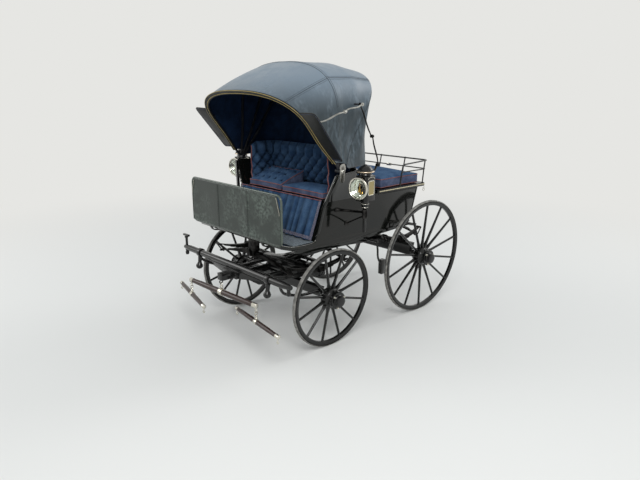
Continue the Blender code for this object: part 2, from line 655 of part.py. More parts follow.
def make_body(materials):
    paint = materials["paint"]
    under = body_bottom()
    outline = under + [(TAIL_Y, SEAT_HEIGHT), (SEAT_FRONT_Y, SEAT_HEIGHT), (HEEL_Y, FLOOR_HEIGHT + 0.05),
                       (HEEL_Y - 0.01, FLOOR_HEIGHT), (FRONT_Y - 0.36, FLOOR_HEIGHT),
                       (FRONT_Y - 0.515, FLOOR_HEIGHT + 0.045)]
    shell = slab(outline, -HALF_BODY, HALF_BODY)
    boot = [(HEEL_Y + 0.05, BODY_CLEARANCE + 0.05), (TAIL_Y - 0.14, BODY_CLEARANCE + 0.075),
            (TAIL_Y - 0.045, SEAT_HEIGHT - 0.025), (SEAT_FRONT_Y + 0.50, SEAT_HEIGHT - 0.025),
            (SEAT_FRONT_Y + 0.40, SEAT_HEIGHT + 0.05), (SEAT_FRONT_Y + 0.035, SEAT_HEIGHT + 0.05)]
    hollow = slab(boot, -HALF_BODY + WALL, HALF_BODY - WALL)
    deck = slab(rounded((-HALF_BODY - 0.012, FRONT_Y + 0.66), (HALF_BODY + 0.012, TAIL_Y + DECK_OVERHANG), 0.03),
                SEAT_HEIGHT - 0.004, DECK_TOP, "z")
    solids = [shell, deck]
    for side in (1, -1):
        sill = [(side * (HALF_BODY - 0.012), y, z - 0.004) for y, z in under[1:-1]]
        sill.append((side * (HALF_BODY - 0.012), TAIL_Y, BODY_CLEARANCE + 0.004))
        solids.append(strip(sill, 0.030, 0.028))
        pump = curve([(side * PUMP_X, TAIL_Y - 0.150, BODY_CLEARANCE + 0.056),
                      (side * PUMP_X, TAIL_Y - 0.05, BODY_CLEARANCE + 0.050),
                      (side * PUMP_X, REAR_Y + REAR_SPRING_HALF - 0.10, PUMP_Z + 0.004),
                      (side * PUMP_X, REAR_Y + REAR_SPRING_HALF + 0.01, PUMP_Z)], 2)
        solids.append(strip(pump, 0.024, 0.024))
        step = Vector((side * HALF_BODY, TAIL_Y - 0.39, FLOOR_HEIGHT + 0.03))
        near, far = sorted((step.x - side * 0.004, step.x + side * STEP_REACH))
        solids.append(slab(rounded((near, step.y - 0.06), (far, step.y + 0.06), 0.015, 2),
                           step.z - 0.004, step.z + 0.004, "z"))
        solids.append(tube([(side * (HALF_BODY - 0.01), step.y, step.z - 0.055),
                            (side * (HALF_BODY + 0.02), step.y, step.z - 0.05),
                            (side * (HALF_BODY + 0.04), step.y, step.z)], 0.007, 6))
    piece("body_shell", solids, paint, cuts=[hollow])
    mat = [(-HALF_BODY + 0.03, FRONT_Y - 0.35), (HALF_BODY - 0.03, FRONT_Y - 0.35),
           (HALF_BODY - 0.03, HEEL_Y - 0.012), (-HALF_BODY + 0.03, HEEL_Y - 0.012)]
    piece("floor_mat", slab(mat, FLOOR_HEIGHT + TOUCH, FLOOR_HEIGHT + 0.007, "z"), materials["carpet"])


# Dash

def make_dash(materials):
    y = FRONT_Y - DASH_AHEAD
    half = DASH_WIDTH / 2
    radius = 0.009
    ring = [Vector((x, y, z)) for x, z in rounded((-half, DASH_BOTTOM), (half, DASH_TOP), 0.055, 3)]
    middle = Vector((0, y, (DASH_BOTTOM + DASH_TOP) / 2))
    rings = []
    for point in ring:
        out = (point - middle).normalized()
        rings.append([point + (out * math.cos(a) + Y_AXIS * math.sin(a)) * radius
                      for a in [math.pi * (k + 0.5) / 3 for k in range(6)]])
    solids = [loft(rings, closed=True)]
    for x in (-half / 3, half / 3):
        solids.append(rod((x, y, DASH_BOTTOM), (x, y, DASH_TOP), 0.006))
    for side in (1, -1):
        x = side * 0.40
        stay = [(x, y, DASH_BOTTOM + 0.03), (x, y + 0.004, DASH_BOTTOM - 0.006), (x, y + 0.028, DASH_BOTTOM - 0.050)]
        stay += [(x, at_y, body_underside(at_y) - 0.0065) for at_y in (y + 0.070, y + 0.150)]
        solids.append(strip(stay, 0.035, 0.010))
    piece("dash_frame", solids, materials["paint"])
    inner = half - 0.004
    low = DASH_BOTTOM + 0.006
    high = DASH_TOP - 0.006
    sheet = [(-inner, low), (inner, low), (inner, high - 0.125), (inner - 0.045, high), (-inner + 0.045, high),
             (-inner, high - 0.125)]
    front = y - radius - TOUCH
    piece("dash_leather", slab(sheet, front - 0.005, front, "y"), materials["leather"])


# Front seat

PANEL = 0.018
BACK_TOP = SEAT_HEIGHT + 0.355


def seat_path(half_front, half_back, front, back, steps=3):
    """A U in plan: from the left arm's front, round the back, to the right arm's front."""
    radius = 0.09
    path = []
    for i in range(4):
        t = i / 4
        path.append((half_front + (half_back - half_front) * t, front + (back - radius - front) * t))
    for i in range(steps + 1):
        angle = math.pi / 2 * i / steps
        path.append((half_back - radius + radius * math.cos(angle), back - radius + radius * math.sin(angle)))
    return path + [(-x, y) for x, y in reversed(path)]


def make_seat(materials):
    board = SEAT_HEIGHT + TOUCH
    low = seat_path(HALF_BODY, HALF_BODY, SEAT_FRONT_Y - 0.01, SEAT_FRONT_Y + SEAT_BACK)
    high = seat_path(ARM_SPREAD, HALF_BODY + 0.035, SEAT_FRONT_Y + 0.02, SEAT_FRONT_Y + SEAT_BACK + 0.012)
    low_in = seat_path(HALF_BODY - PANEL, HALF_BODY - PANEL, SEAT_FRONT_Y - 0.01, SEAT_FRONT_Y + SEAT_BACK - PANEL)
    high_in = seat_path(ARM_SPREAD - PANEL, HALF_BODY + 0.035 - PANEL, SEAT_FRONT_Y + 0.02,
                        SEAT_FRONT_Y + SEAT_BACK + 0.012 - PANEL)
    rings = []
    for a, b, c, d in zip(low, high, high_in, low_in):
        rings.append([Vector((*a, board)), Vector((*b, ARM_HEIGHT)), Vector((*c, ARM_HEIGHT)), Vector((*d, board))])
    back_y = SEAT_FRONT_Y + SEAT_BACK
    solids = [
        loft(rings),
        block((-HALF_BODY + 0.01, SEAT_FRONT_Y - 0.008, board + 0.0005),
              (HALF_BODY - 0.01, back_y - 0.01, board + 0.016)),
        block((-HALF_BODY + 0.045, back_y - 0.012, board + 0.1), (HALF_BODY - 0.045, back_y + 0.004, BACK_TOP)),
    ]
    for side in (1, -1):
        pillar = [(side * (HALF_BODY + 0.010), FRONT_Y - 0.105, FLOOR_HEIGHT + 0.08),
                  (side * (HALF_BODY + 0.016), FRONT_Y - 0.045, SEAT_HEIGHT - 0.04),
                  (side * (ARM_SPREAD - 0.004), SEAT_FRONT_Y + 0.012, ARM_HEIGHT - 0.004)]
        solids.append(strip(pillar, 0.018, 0.028))
        foot = Vector((side * (ARM_SPREAD + 0.006), FRONT_Y + IRON_FOOT_BEHIND, IRON_FOOT_HEIGHT))
        solids.append(tube([(side * (HALF_BODY + 0.004), back_y - 0.025, ARM_HEIGHT - 0.02),
                            (side * (ARM_SPREAD - 0.007), foot.y - 0.008, foot.z - 0.045),
                            foot - Z_AXIS * 0.004], 0.011))
        solids.append(turned([(0, 0.016), (0.009, 0.016), (0.0095, IRON_PIN), (0.028, IRON_PIN)],
                             foot - X_AXIS * side * 0.002, X_AXIS * side, 8))
    piece("seat_frame", solids, materials["paint"])

    for side, word in ((1, "left"), (-1, "right")):
        inner = ARM_SPREAD + TOUCH + 0.004
        plate = [(PIVOT.y - 0.020, ARM_HEIGHT - 0.045), (PIVOT.y + 0.022, ARM_HEIGHT - 0.045),
                 (PIVOT.y + 0.030, PIVOT.z + 0.020), (PIVOT.y + 0.022, PIVOT.z + 0.062),
                 (PIVOT.y - 0.002, PIVOT.z + 0.062), (PIVOT.y - 0.022, PIVOT.z + 0.010)]
        spoon = slab(plate, *sorted((side * inner, side * (inner + 0.008))))
        pin = turned([(0, HEAD_PIN), (0.098, HEAD_PIN)],
                     (side * (ARM_SPREAD - 0.070), PIVOT.y, PIVOT.z), X_AXIS * side, 10)
        piece(f"hood_head_{word}", [spoon, pin], materials["bright_iron"], origin=(side * inner, PIVOT.y, PIVOT.z))


# Cushions and trimmings

def cushion(x0, x1, y0, y1, base, front_edge, rear_edge, crown, columns, rows, tufts):
    """A stuffed cushion: crowned top, sides drawn in between the corners, sewn tufts sunk in the top."""
    def top(u, v):
        bulge = (1 - (2 * u - 1) ** 4) * (1 - (2 * v - 1) ** 4)
        height = front_edge + (rear_edge - front_edge) * v + crown * bulge
        for tu, tv in tufts:
            away = ((u - tu) * (x1 - x0)) ** 2 + ((v - tv) * (y1 - y0)) ** 2
            height -= 0.020 * math.exp(-away / 0.0012)
        return height

    def plan(u, v, draw):
        x = x0 + (x1 - x0) * u
        y = y0 + (y1 - y0) * v
        x += draw * math.sin(math.pi * v) * (1 - 2 * u)
        y += draw * math.sin(math.pi * u) * (1 - 2 * v)
        return x, y

    bm = bmesh.new()
    levels = []
    for layer in ("base", "top"):
        grid = []
        for j in range(rows + 1):
            line = []
            for i in range(columns + 1):
                u, v = i / columns, j / rows
                x, y = plan(u, v, 0.010)
                line.append(bm.verts.new((x, y, base if layer == "base" else top(u, v))))
            grid.append(line)
        levels.append(grid)
    lower, upper = levels
    for j in range(rows):
        for i in range(columns):
            bm.faces.new((upper[j][i], upper[j][i + 1], upper[j + 1][i + 1], upper[j + 1][i]))
            bm.faces.new((lower[j][i], lower[j + 1][i], lower[j + 1][i + 1], lower[j][i + 1]))
    rim = ([(0, i) for i in range(columns)] + [(j, columns) for j in range(rows)]
           + [(rows, i) for i in range(columns, 0, -1)] + [(j, 0) for j in range(rows, 0, -1)])
    for (a, b), (c, d) in zip(rim, rim[1:] + rim[:1]):
        bm.faces.new((lower[a][b], lower[c][d], upper[c][d], upper[a][b]))
    bmesh.ops.recalc_face_normals(bm, faces=bm.faces)
    return bm


def lattice(columns, rows):
    """Tuft places in staggered rows."""
    places = []
    for j in range(rows):
        count = columns if j % 2 == 0 else columns - 1
        for i in range(count):
            places.append(((i + (0.7 if j % 2 == 0 else 1.2)) / (columns + 0.4), (j + 0.8) / (rows + 0.6)))
    return places


def make_squab(materials):
    """The buttoned back and arms: a U of stuffing, drawn down at every button and along the folds between."""
    base = SEAT_HEIGHT + 0.075
    back = SEAT_FRONT_Y + SEAT_BACK - PANEL - 0.004
    inner = seat_path(HALF_BODY - 0.037, HALF_BODY - 0.037, SEAT_FRONT_Y + 0.13, back, 4)
    points = [Vector((x, y, 0)) for x, y in inner]
    lengths = [0.0]
    for a, b in zip(points, points[1:]):
        lengths.append(lengths[-1] + (b - a).length)
    total = lengths[-1]
    columns = 54
    rows = 8
    pitch = total / 17

    def along(s):
        for k in range(len(points) - 1):
            if s <= lengths[k + 1] or k == len(points) - 2:
                t = (s - lengths[k]) / (lengths[k + 1] - lengths[k])
                return points[k].lerp(points[k + 1], t), (points[k + 1] - points[k]).normalized()

    front = []
    behind = []
    for j in range(rows + 1):
        v = j / rows
        line = []
        for i in range(columns + 1):
            s = total * i / columns
            point, way = along(s)
            inward = Vector((-way.y, way.x, 0))
            ends = min(1.0, max(0.0, min(s, total - s)) / 0.20)
            top = base + 0.155 + (SQUAB_TOP - base - 0.155) * ends ** 1.5
            place = point + Z_AXIS * (base + (top - base) * v)
            puff = abs(math.sin(math.pi * (s / pitch + v * 2)) * math.sin(math.pi * (s / pitch - v * 2))) ** 0.6
            edge = min(1.0, 8 * v + 0.25, 8 * (1 - v) + 0.15, ends * 3 + 0.2)
            line.append(place + inward * max((0.030 + 0.036 * puff) * edge, 0.006))
            if j in (0, rows):
                behind.append(place)
        front.append(line)
    bm = bmesh.new()
    front = [[bm.verts.new(point) for point in line] for line in front]
    lower = [bm.verts.new(point) for point in behind[: columns + 1]]
    upper = [bm.verts.new(point) for point in behind[columns + 1 :]]
    for i in range(columns):
        for j in range(rows):
            bm.faces.new((front[j][i], front[j + 1][i], front[j + 1][i + 1], front[j][i + 1]))
        bm.faces.new((lower[i], lower[i + 1], upper[i + 1], upper[i]))
        bm.faces.new((lower[i], front[0][i], front[0][i + 1], lower[i + 1]))
        bm.faces.new((upper[i], upper[i + 1], front[rows][i + 1], front[rows][i]))
    for i in (0, columns):
        bm.faces.new([lower[i], upper[i], *[front[j][i] for j in range(rows, -1, -1)]])
    bmesh.ops.recalc_face_normals(bm, faces=bm.faces)
    piece("squab", bm, materials["cloth"], smooth_angle=80.0)


def make_trimmings(materials):
    cloth = materials["cloth"]
    base = SEAT_HEIGHT + 0.018
    back = SEAT_FRONT_Y + 0.300
    passenger = cushion(0.004, HALF_BODY - 0.042, SEAT_FRONT_Y - 0.008, back, base, base + 0.055, base + 0.055, 0.020,
                        12, 8, lattice(4, 2))
    piece("passenger_cushion", passenger, cloth, smooth_angle=60.0)
    driver = cushion(-HALF_BODY + 0.108, -0.004, SEAT_FRONT_Y - 0.004, back, base, base + 0.060, base + 0.170, 0.020, 12, 8,
                     lattice(4, 2))
    piece("driver_cushion", driver, cloth, smooth_angle=60.0)
    rear = cushion(-HALF_BODY + 0.02, HALF_BODY - 0.02, TAIL_Y - 0.535, TAIL_Y + 0.035, DECK_TOP + TOUCH,
                   DECK_TOP + 0.095, DECK_TOP + 0.095, 0.030, 14, 8, [])
    piece("rear_cushion", rear, cloth, smooth_angle=60.0)

    top = Vector((0, SEAT_FRONT_Y - 0.020, SEAT_HEIGHT - 0.010))
    bottom = Vector((0, HEEL_Y - 0.030, FLOOR_HEIGHT + 0.075))
    drop = bottom - top
    out = X_AXIS.cross(drop).normalized()
    if out.y > 0:
        out = -out
    columns = 60
    rings = []
    for i in range(columns + 1):
        u = i / columns
        x = (2 * u - 1) * (HALF_BODY - 0.035)
        ring = []
        for v, skin in ((0, 1), (0.5, 1), (1, 1), (1, -1), (0.5, -1), (0, -1)):
            wave = 0.009 * (0.35 + 0.65 * v) * math.sin(2 * math.pi * u * 15)
            ring.append(top + drop * v + X_AXIS * x + out * (wave + 0.012 + 0.0025 * skin))
        rings.append(ring)
    piece("seat_fall", loft(rings), cloth, smooth_angle=60.0)


# Rear rail

RAIL_X = HALF_BODY
RAIL_BACK = TAIL_Y + 0.14
RAIL_TOP = DECK_TOP + 0.220
RAIL_LOW = DECK_TOP + 0.135


def make_rear_rail(materials):
    radius = 0.0075
    foot_y = TAIL_Y - 0.28
    front_y = TAIL_Y - 0.23
    lean = 0.02
    upper = [(RAIL_X, foot_y, DECK_TOP + 0.002), (RAIL_X, front_y - 0.015, RAIL_TOP - 0.04),
             (RAIL_X, front_y + 0.005, RAIL_TOP - 0.015), (RAIL_X, front_y + 0.035, RAIL_TOP - 0.012)]
    corner = [(RAIL_X, RAIL_BACK - 0.03, RAIL_TOP), (RAIL_X - 0.012, RAIL_BACK - 0.006, RAIL_TOP),
              (RAIL_X - 0.035, RAIL_BACK, RAIL_TOP)]
    path = upper + corner
    path += [(-x, y, z) for x, y, z in reversed(path)]
    solids = [tube(path, radius, 6)]
    low_back = RAIL_BACK - lean
    lower = [(RAIL_X, front_y - 0.024, RAIL_LOW), (RAIL_X, low_back - 0.03, RAIL_LOW),
             (RAIL_X - 0.012, low_back - 0.006, RAIL_LOW), (RAIL_X - 0.035, low_back, RAIL_LOW)]
    lower += [(-x, y, z) for x, y, z in reversed(lower)]
    solids.append(tube(lower, 0.006, 6))
    deck_y = TAIL_Y + DECK_OVERHANG - 0.02
    for x in (-0.33, 0.0, 0.33):
        solids.append(tube([(x, deck_y, DECK_TOP + 0.002), (x, low_back, RAIL_LOW), (x, RAIL_BACK, RAIL_TOP)], 0.0065, 6))
    for x in (-RAIL_X, RAIL_X):
        solids.append(tube([(x, deck_y - 0.02, DECK_TOP + 0.002), (x, low_back - 0.035, RAIL_LOW),
                            (x, RAIL_BACK - 0.04, RAIL_TOP)], 0.0065, 6))
    piece("rear_rail", solids, materials["paint"])


# Hood

BOW_PITCH = 0.016
BOW_THICK = 0.013
BOW_DEEP = 0.020
HEAD_PIN = 0.008
IRON_PIN = 0.0075
LEATHER_GAP = 0.006
LEATHER = 0.003
CROWN_POWER = 2.5
FLARE_REACH = 0.35
WING_REACH = ARM_SPREAD + 0.134
UPPER_IRON_X = ARM_SPREAD + 0.010
LOWER_IRON_X = ARM_SPREAD + 0.025
AFT_IRON_X = ARM_SPREAD + 0.040
FORE_IRON_X = ARM_SPREAD + 0.056
IRON_FOOT_BEHIND = 0.49
IRON_FOOT_HEIGHT = HOOD_PIVOT_HEIGHT + 0.02
FRONT_IRON_RADIUS = 0.52
FRONT_IRON_BACK = 0.022
MAIN_IRON_RADIUS = 0.58


def in_bow(lean, x, radius, back=0.0):
    """A point in the plane of a bow: x across, radius out from the pivot, back square to the plane."""
    angle = math.radians(lean)
    out = Vector((0, math.sin(angle), math.cos(angle)))
    behind = Vector((0, math.cos(angle), -math.sin(angle)))
    return PIVOT + X_AXIS * x + out * radius + behind * back


def flare(radius):
    """How far the foot of a leg stands out from its upper part."""
    t = max(0.0, 1 - radius / FLARE_REACH)
    return (HOOD_HEAD_HALF_WIDTH - HOOD_HALF_WIDTH) * t * t * (3 - 2 * t)


def bow_half(half_width, legs, crown, foot, steps=7, grow=0.0):
    """Half of a bow's line as (x, radius), from its foot to the middle of its crown."""
    line = []
    for k in range(4):
        radius = foot + (legs - foot) * k / 4
        line.append((half_width + grow + flare(radius), radius))
    for k in range(steps + 1):
        angle = math.pi / 2 * k / steps
        x = (half_width + grow) * math.cos(angle) ** (2 / CROWN_POWER)
        line.append((x, legs + (crown + grow) * math.sin(angle) ** (2 / CROWN_POWER)))
    return line


def make_bows(materials):
    for i, (lean, legs, crown) in enumerate(BOWS):
        half = HOOD_HALF_WIDTH - BOW_PITCH * i
        line = bow_half(half, legs, crown, 0.0)
        path = [in_bow(lean, x, r) for x, r in line]
        path += [in_bow(lean, -x, r) for x, r in reversed(line[:-1])]
        behind = in_bow(lean, 0, 0, 1.0) - PIVOT
        solids = [strip(path, BOW_DEEP, BOW_THICK, behind)]
        cuts = []
        for side in (1, -1):
            eye_x = side * (half + flare(0))
            solids.append(turned([(0, 0.019), (BOW_THICK + 0.001, 0.019)],
                                 PIVOT + X_AXIS * (eye_x - (BOW_THICK + 0.001) / 2), X_AXIS, 12))
            cuts.append(turned([(0, HEAD_PIN + RUNNING), (0.06, HEAD_PIN + RUNNING)],
                               PIVOT + X_AXIS * (eye_x - 0.03), X_AXIS, 10))
            if i == 0:
                pin = in_bow(lean, side * (half - 0.002), FRONT_IRON_RADIUS, FRONT_IRON_BACK)
                solids.append(tube([in_bow(lean, side * (half - 0.008), FRONT_IRON_RADIUS, 0.004),
                                    pin + X_AXIS * side * 0.010, pin + X_AXIS * side * 0.030], 0.010, 6))
                solids.append(turned([(0, IRON_PIN), (FORE_IRON_X - half + 0.008, IRON_PIN)], pin, X_AXIS * side, 8))
            if i == 2:
                pin = in_bow(lean, side * (half - 0.012), MAIN_IRON_RADIUS)
                solids.append(turned([(0, IRON_PIN), (AFT_IRON_X - half + 0.020, IRON_PIN)], pin, X_AXIS * side, 8))
        piece(f"hood_bow_{i + 1}", solids, materials["bow"], origin=PIVOT, cuts=cuts)


def hood_rows(grow):
    """The hood's skin as rows of points, from the front bow back over the others and down to the seat."""
    rows = []
    for i, (lean, legs, crown) in enumerate(BOWS):
        half = HOOD_HALF_WIDTH + BOW_THICK / 2 + LEATHER_GAP - 0.006 * i
        foot = 0.10 if i == 0 else 0.072
        line = bow_half(half, legs, crown + BOW_THICK / 2 + LEATHER_GAP, foot, grow=grow)
        line[0] = (line[0][0] + 0.006 * i, line[0][1])
        line += [(-x, r) for x, r in reversed(line[:-1])]
        last_bow = i == len(BOWS) - 1
        rows.append([in_bow(lean, x, r + (0.006 if last_bow else 0), 0.016 if last_bow else 0.0) for x, r in line])
    last = rows[-1]
    count = len(last)
    hem_z = HOOD_PIVOT_HEIGHT + 0.022
    back = FRONT_Y + 0.435 + grow
    half = HOOD_HALF_WIDTH - 0.010 + grow
    hem = []
    corner = 8
    for k in range(count):
        m = min(k, count - 1 - k)
        side = 1 if k <= count // 2 else -1
        if m <= corner:
            t = m / corner
            x = (half + 0.062) * (1 - t) + half * t
            y = FRONT_Y + HOOD_PIVOT_BEHIND + 0.075 + (back - 0.02 - FRONT_Y - HOOD_PIVOT_BEHIND - 0.075) * t
        else:
            t = (m - corner) / (count // 2 - corner)
            x = half * (1 - t) * (1 - 0.25 * t) if m < count // 2 else 0.0
            y = back - 0.02 + 0.02 * math.sin(math.pi / 2 * min(1.0, t * 2))
        hem.append(Vector((side * x, y, hem_z)))
    for t in (1 / 3, 2 / 3, 1.0):
        rows.append([a.lerp(b, t) for a, b in zip(last, hem)])
    return rows


def make_hood(materials):
    inside = hood_rows(0.0)
    outside = hood_rows(LEATHER)
    bm = bmesh.new()
    skins = [[[bm.verts.new(p) for p in row] for row in rows] for rows in (inside, outside)]
    count = len(inside[0])
    last = len(inside) - 1
    for skin in skins:
        for j in range(last):
            for i in range(count - 1):
                bm.faces.new((skin[j][i], skin[j][i + 1], skin[j + 1][i + 1], skin[j + 1][i]))
    rim = ([(0, i) for i in range(count - 1)] + [(j, count - 1) for j in range(last)]
           + [(last, i) for i in range(count - 1, 0, -1)] + [(j, 0) for j in range(last, 0, -1)])
    for (a, b), (c, d) in zip(rim, rim[1:] + rim[:1]):
        bm.faces.new((skins[0][a][b], skins[0][c][d], skins[1][c][d], skins[1][a][b]))
    bmesh.ops.recalc_face_normals(bm, faces=bm.faces)
    cuts = []
    for side in (1, -1):
        for lean, radius, back in ((BOWS[0][0], FRONT_IRON_RADIUS, FRONT_IRON_BACK), (BOWS[2][0], MAIN_IRON_RADIUS, 0)):
            start = in_bow(lean, side * (HOOD_HALF_WIDTH - 0.03), radius, back)
            cuts.append(turned([(0, 0.017), (0.08, 0.017)], start, X_AXIS * side, 12))
    piece("hood_leather", bm, materials["hood"], cuts=cuts, smooth_angle=50.0)


def make_wings(materials):
    lean = BOWS[0][0]
    for side, word in ((1, "left"), (-1, "right")):
        edge = [(ARM_SPREAD - 0.006, 0.150), (WING_REACH - 0.031, 0.142), (WING_REACH - 0.018, 0.152),
                (WING_REACH, 0.600), (WING_REACH - 0.012, 0.634), (WING_REACH - 0.038, 0.645),
                (HOOD_HALF_WIDTH - 0.028, 0.640), (HOOD_HALF_WIDTH + 0.002, 0.480),
                (HOOD_HALF_WIDTH + 0.004, 0.300), (HOOD_HALF_WIDTH + 0.020, 0.200)]
        back = -BOW_DEEP / 2 - TOUCH
        rings = [[in_bow(lean, side * x, r, back - depth) for x, r in edge] for depth in (0.0, 0.005)]
        piece(f"hood_wing_{word}", loft(rings), materials["leather"], origin=PIVOT)


def iron(name, start, end, layer, side, sag, material, hole_start, hole_end):
    """Half of a hood iron: a round bar with a flat eye at each end, in its own layer."""
    x = side * layer
    a = Vector((x, start.y, start.z))
    b = Vector((x, end.y, end.z))
    way = (b - a).normalized()
    bend = Vector((0, -way.z, way.y)) * sag
    line = [a + way * 0.012, a.lerp(b, 0.3) + bend, a.lerp(b, 0.7) - bend, b - way * 0.012]
    solids = [tube(line, [0.0055, 0.0065, 0.0065, 0.0055], 6)]
    cuts = []
    for eye, hole in ((a, hole_start), (b, hole_end)):
        solids.append(turned([(0, 0.0155), (0.011, 0.0155)], eye - X_AXIS * 0.0055, X_AXIS, 10))
        if hole:
            cuts.append(turned([(0, IRON_PIN + RUNNING), (0.03, IRON_PIN + RUNNING)], eye - X_AXIS * 0.015, X_AXIS, 8))
    piece(name, solids, material, origin=a, cuts=cuts)


def make_irons(materials):
    paint = materials["bright_iron"]
    front = in_bow(BOWS[0][0], 0, FRONT_IRON_RADIUS, FRONT_IRON_BACK)
    main = in_bow(BOWS[2][0], 0, MAIN_IRON_RADIUS)
    knuckle = PIVOT + Vector((0, -0.017, 0.492))
    knee = PIVOT + Vector((0, 0.346, 0.275))
    foot = Vector((0, FRONT_Y + IRON_FOOT_BEHIND, IRON_FOOT_HEIGHT))
    for side, word in ((1, "left"), (-1, "right")):
        iron(f"front_iron_fore_{word}", front, knuckle, FORE_IRON_X, side, -0.006, paint, True, False)
        iron(f"front_iron_aft_{word}", main, knuckle, AFT_IRON_X, side, 0.005, paint, True, False)
        iron(f"back_iron_upper_{word}", main, knee, UPPER_IRON_X, side, 0.0, paint, True, False)
        iron(f"back_iron_lower_{word}", foot, knee, LOWER_IRON_X, side, 0.0, paint, True, False)


# Lamps

STEM_RADIUS = 0.015
SOCKET_TOP = LAMP_HEIGHT - 0.190
SOCKET_BOTTOM = SOCKET_TOP - 0.077
STEM_BOTTOM = SOCKET_BOTTOM - 0.125


def make_lamps(materials):
    y = FRONT_Y + LAMP_BEHIND
    for side, word in ((1, "left"), (-1, "right")):
        x = side * LAMP_HALF_SPREAD
        stand = Vector((x, y, LAMP_HEIGHT))
        wide = Vector((math.cos(LAMP_YAW[side]), math.sin(LAMP_YAW[side]), 0))
        deep = Z_AXIS.cross(wide)
        body = [stand + wide * a + deep * b for a, b in rounded((-0.062, -0.065), (0.062, 0.072), 0.018, 1)]
        barrel = loft([[p + Z_AXIS * z for p in body] for z in (-0.115, 0.100)])
        face = turned([(0, LAMP_FACE_RADIUS), (0.018, LAMP_FACE_RADIUS), (0.050, 0.070), (0.075, 0.062)],
                      stand - deep * 0.112, deep, 24)
        chimney = turned([(0, 0.056), (0.035, 0.056), (0.036, 0.075), (0.052, 0.075), (0.060, 0.060),
                          (0.080, 0.045), (0.098, 0.012)], stand + Z_AXIS * 0.095, Z_AXIS, 12)
        drop = LAMP_HEIGHT - 0.110
        stem = turned([(0, 0.050), (0.022, 0.036), (0.060, 0.030), (0.078, 0.020), (0.079, STEM_RADIUS),
                       (drop - STEM_BOTTOM - 0.008, STEM_RADIUS), (drop - STEM_BOTTOM, 0.008)],
                      (x, y, drop), -Z_AXIS, 12)
        piece(f"lamp_{word}", [barrel, face, chimney, stem], materials["lamp"], origin=(x, y, SOCKET_TOP))
        sleeve = turned([(0, 0.024), (SOCKET_TOP - SOCKET_BOTTOM, 0.024)], (x, y, SOCKET_BOTTOM), Z_AXIS, 12)
        bore = turned([(-0.02, STEM_RADIUS + RUNNING), (0.12, STEM_RADIUS + RUNNING)],
                      (x, y, SOCKET_BOTTOM), Z_AXIS, 12)
        wall = side * (HALF_BODY + TOUCH)
        grip = x - side * 0.018
        high = SOCKET_BOTTOM + 0.040
        low = SOCKET_BOTTOM - 0.100
        upper = rod((grip, y, high + 0.010), (wall + side * 0.003, y - 0.06, high), 0.010, 8, 0.014)
        lower = rod((grip, y, SOCKET_BOTTOM + 0.015), (wall + side * 0.003, y + 0.06, low), 0.007)
        faces = sorted((wall, wall + side * 0.007))
        pad = slab(rounded((y - 0.09, high - 0.020), (y - 0.03, high + 0.020), 0.01, 2), *faces)
        foot = slab(rounded((y + 0.035, low - 0.020), (y + 0.085, low + 0.020), 0.01, 2), *faces)
        piece(f"lamp_bracket_{word}", [sleeve, upper, lower, pad, foot], materials["bright_iron"], cuts=[bore])


# Brake

BRAKE_Y = FRONT_Y + 0.575
BRAKE_Z = BODY_CLEARANCE - 0.034
BLOCK_GAP = 0.018


def make_brake(materials):
    tread = REAR_Y - REAR_WHEEL_DIAMETER / 2
    x = HALF_TRACK - 0.004
    block_z = REAR_AXLE_Z + 0.03
    solids = [rod((-x - 0.012, BRAKE_Y, BRAKE_Z), (x + 0.012, BRAKE_Y, BRAKE_Z), 0.012, 10)]
    for side in (1, -1):
        face = tread - BLOCK_GAP
        arm = curve([(side * x, BRAKE_Y, BRAKE_Z), (side * x, BRAKE_Y + 0.012, BRAKE_Z - 0.08),
                     (side * x, face - 0.085, BRAKE_Z - 0.16), (side * x, face - 0.045, block_z + 0.02)], 3)
        solids.append(tube(arm, 0.010, 6))
        solids.append(block((side * x - 0.022, face - 0.052, block_z - 0.075),
                            (side * x + 0.022, face, block_z + 0.065)))
    lever = curve([(-x, BRAKE_Y, BRAKE_Z), (-x, BRAKE_Y - 0.02, BRAKE_Z + 0.20), (-x, BRAKE_Y - 0.13, BRAKE_Z + 0.40)], 3)
    solids.append(tube(lever, [0.011, 0.011, 0.010, 0.010, 0.009, 0.009, 0.008], 6))
    solids.append(turned([(0, 0.010), (0.008, 0.019), (0.020, 0.019), (0.030, 0.010)],
                         (-x, BRAKE_Y - 0.125, BRAKE_Z + 0.39), (0, -0.4, 0.9), 8))
    piece("brake_gear", solids, materials["paint"], origin=(0, BRAKE_Y, BRAKE_Z))


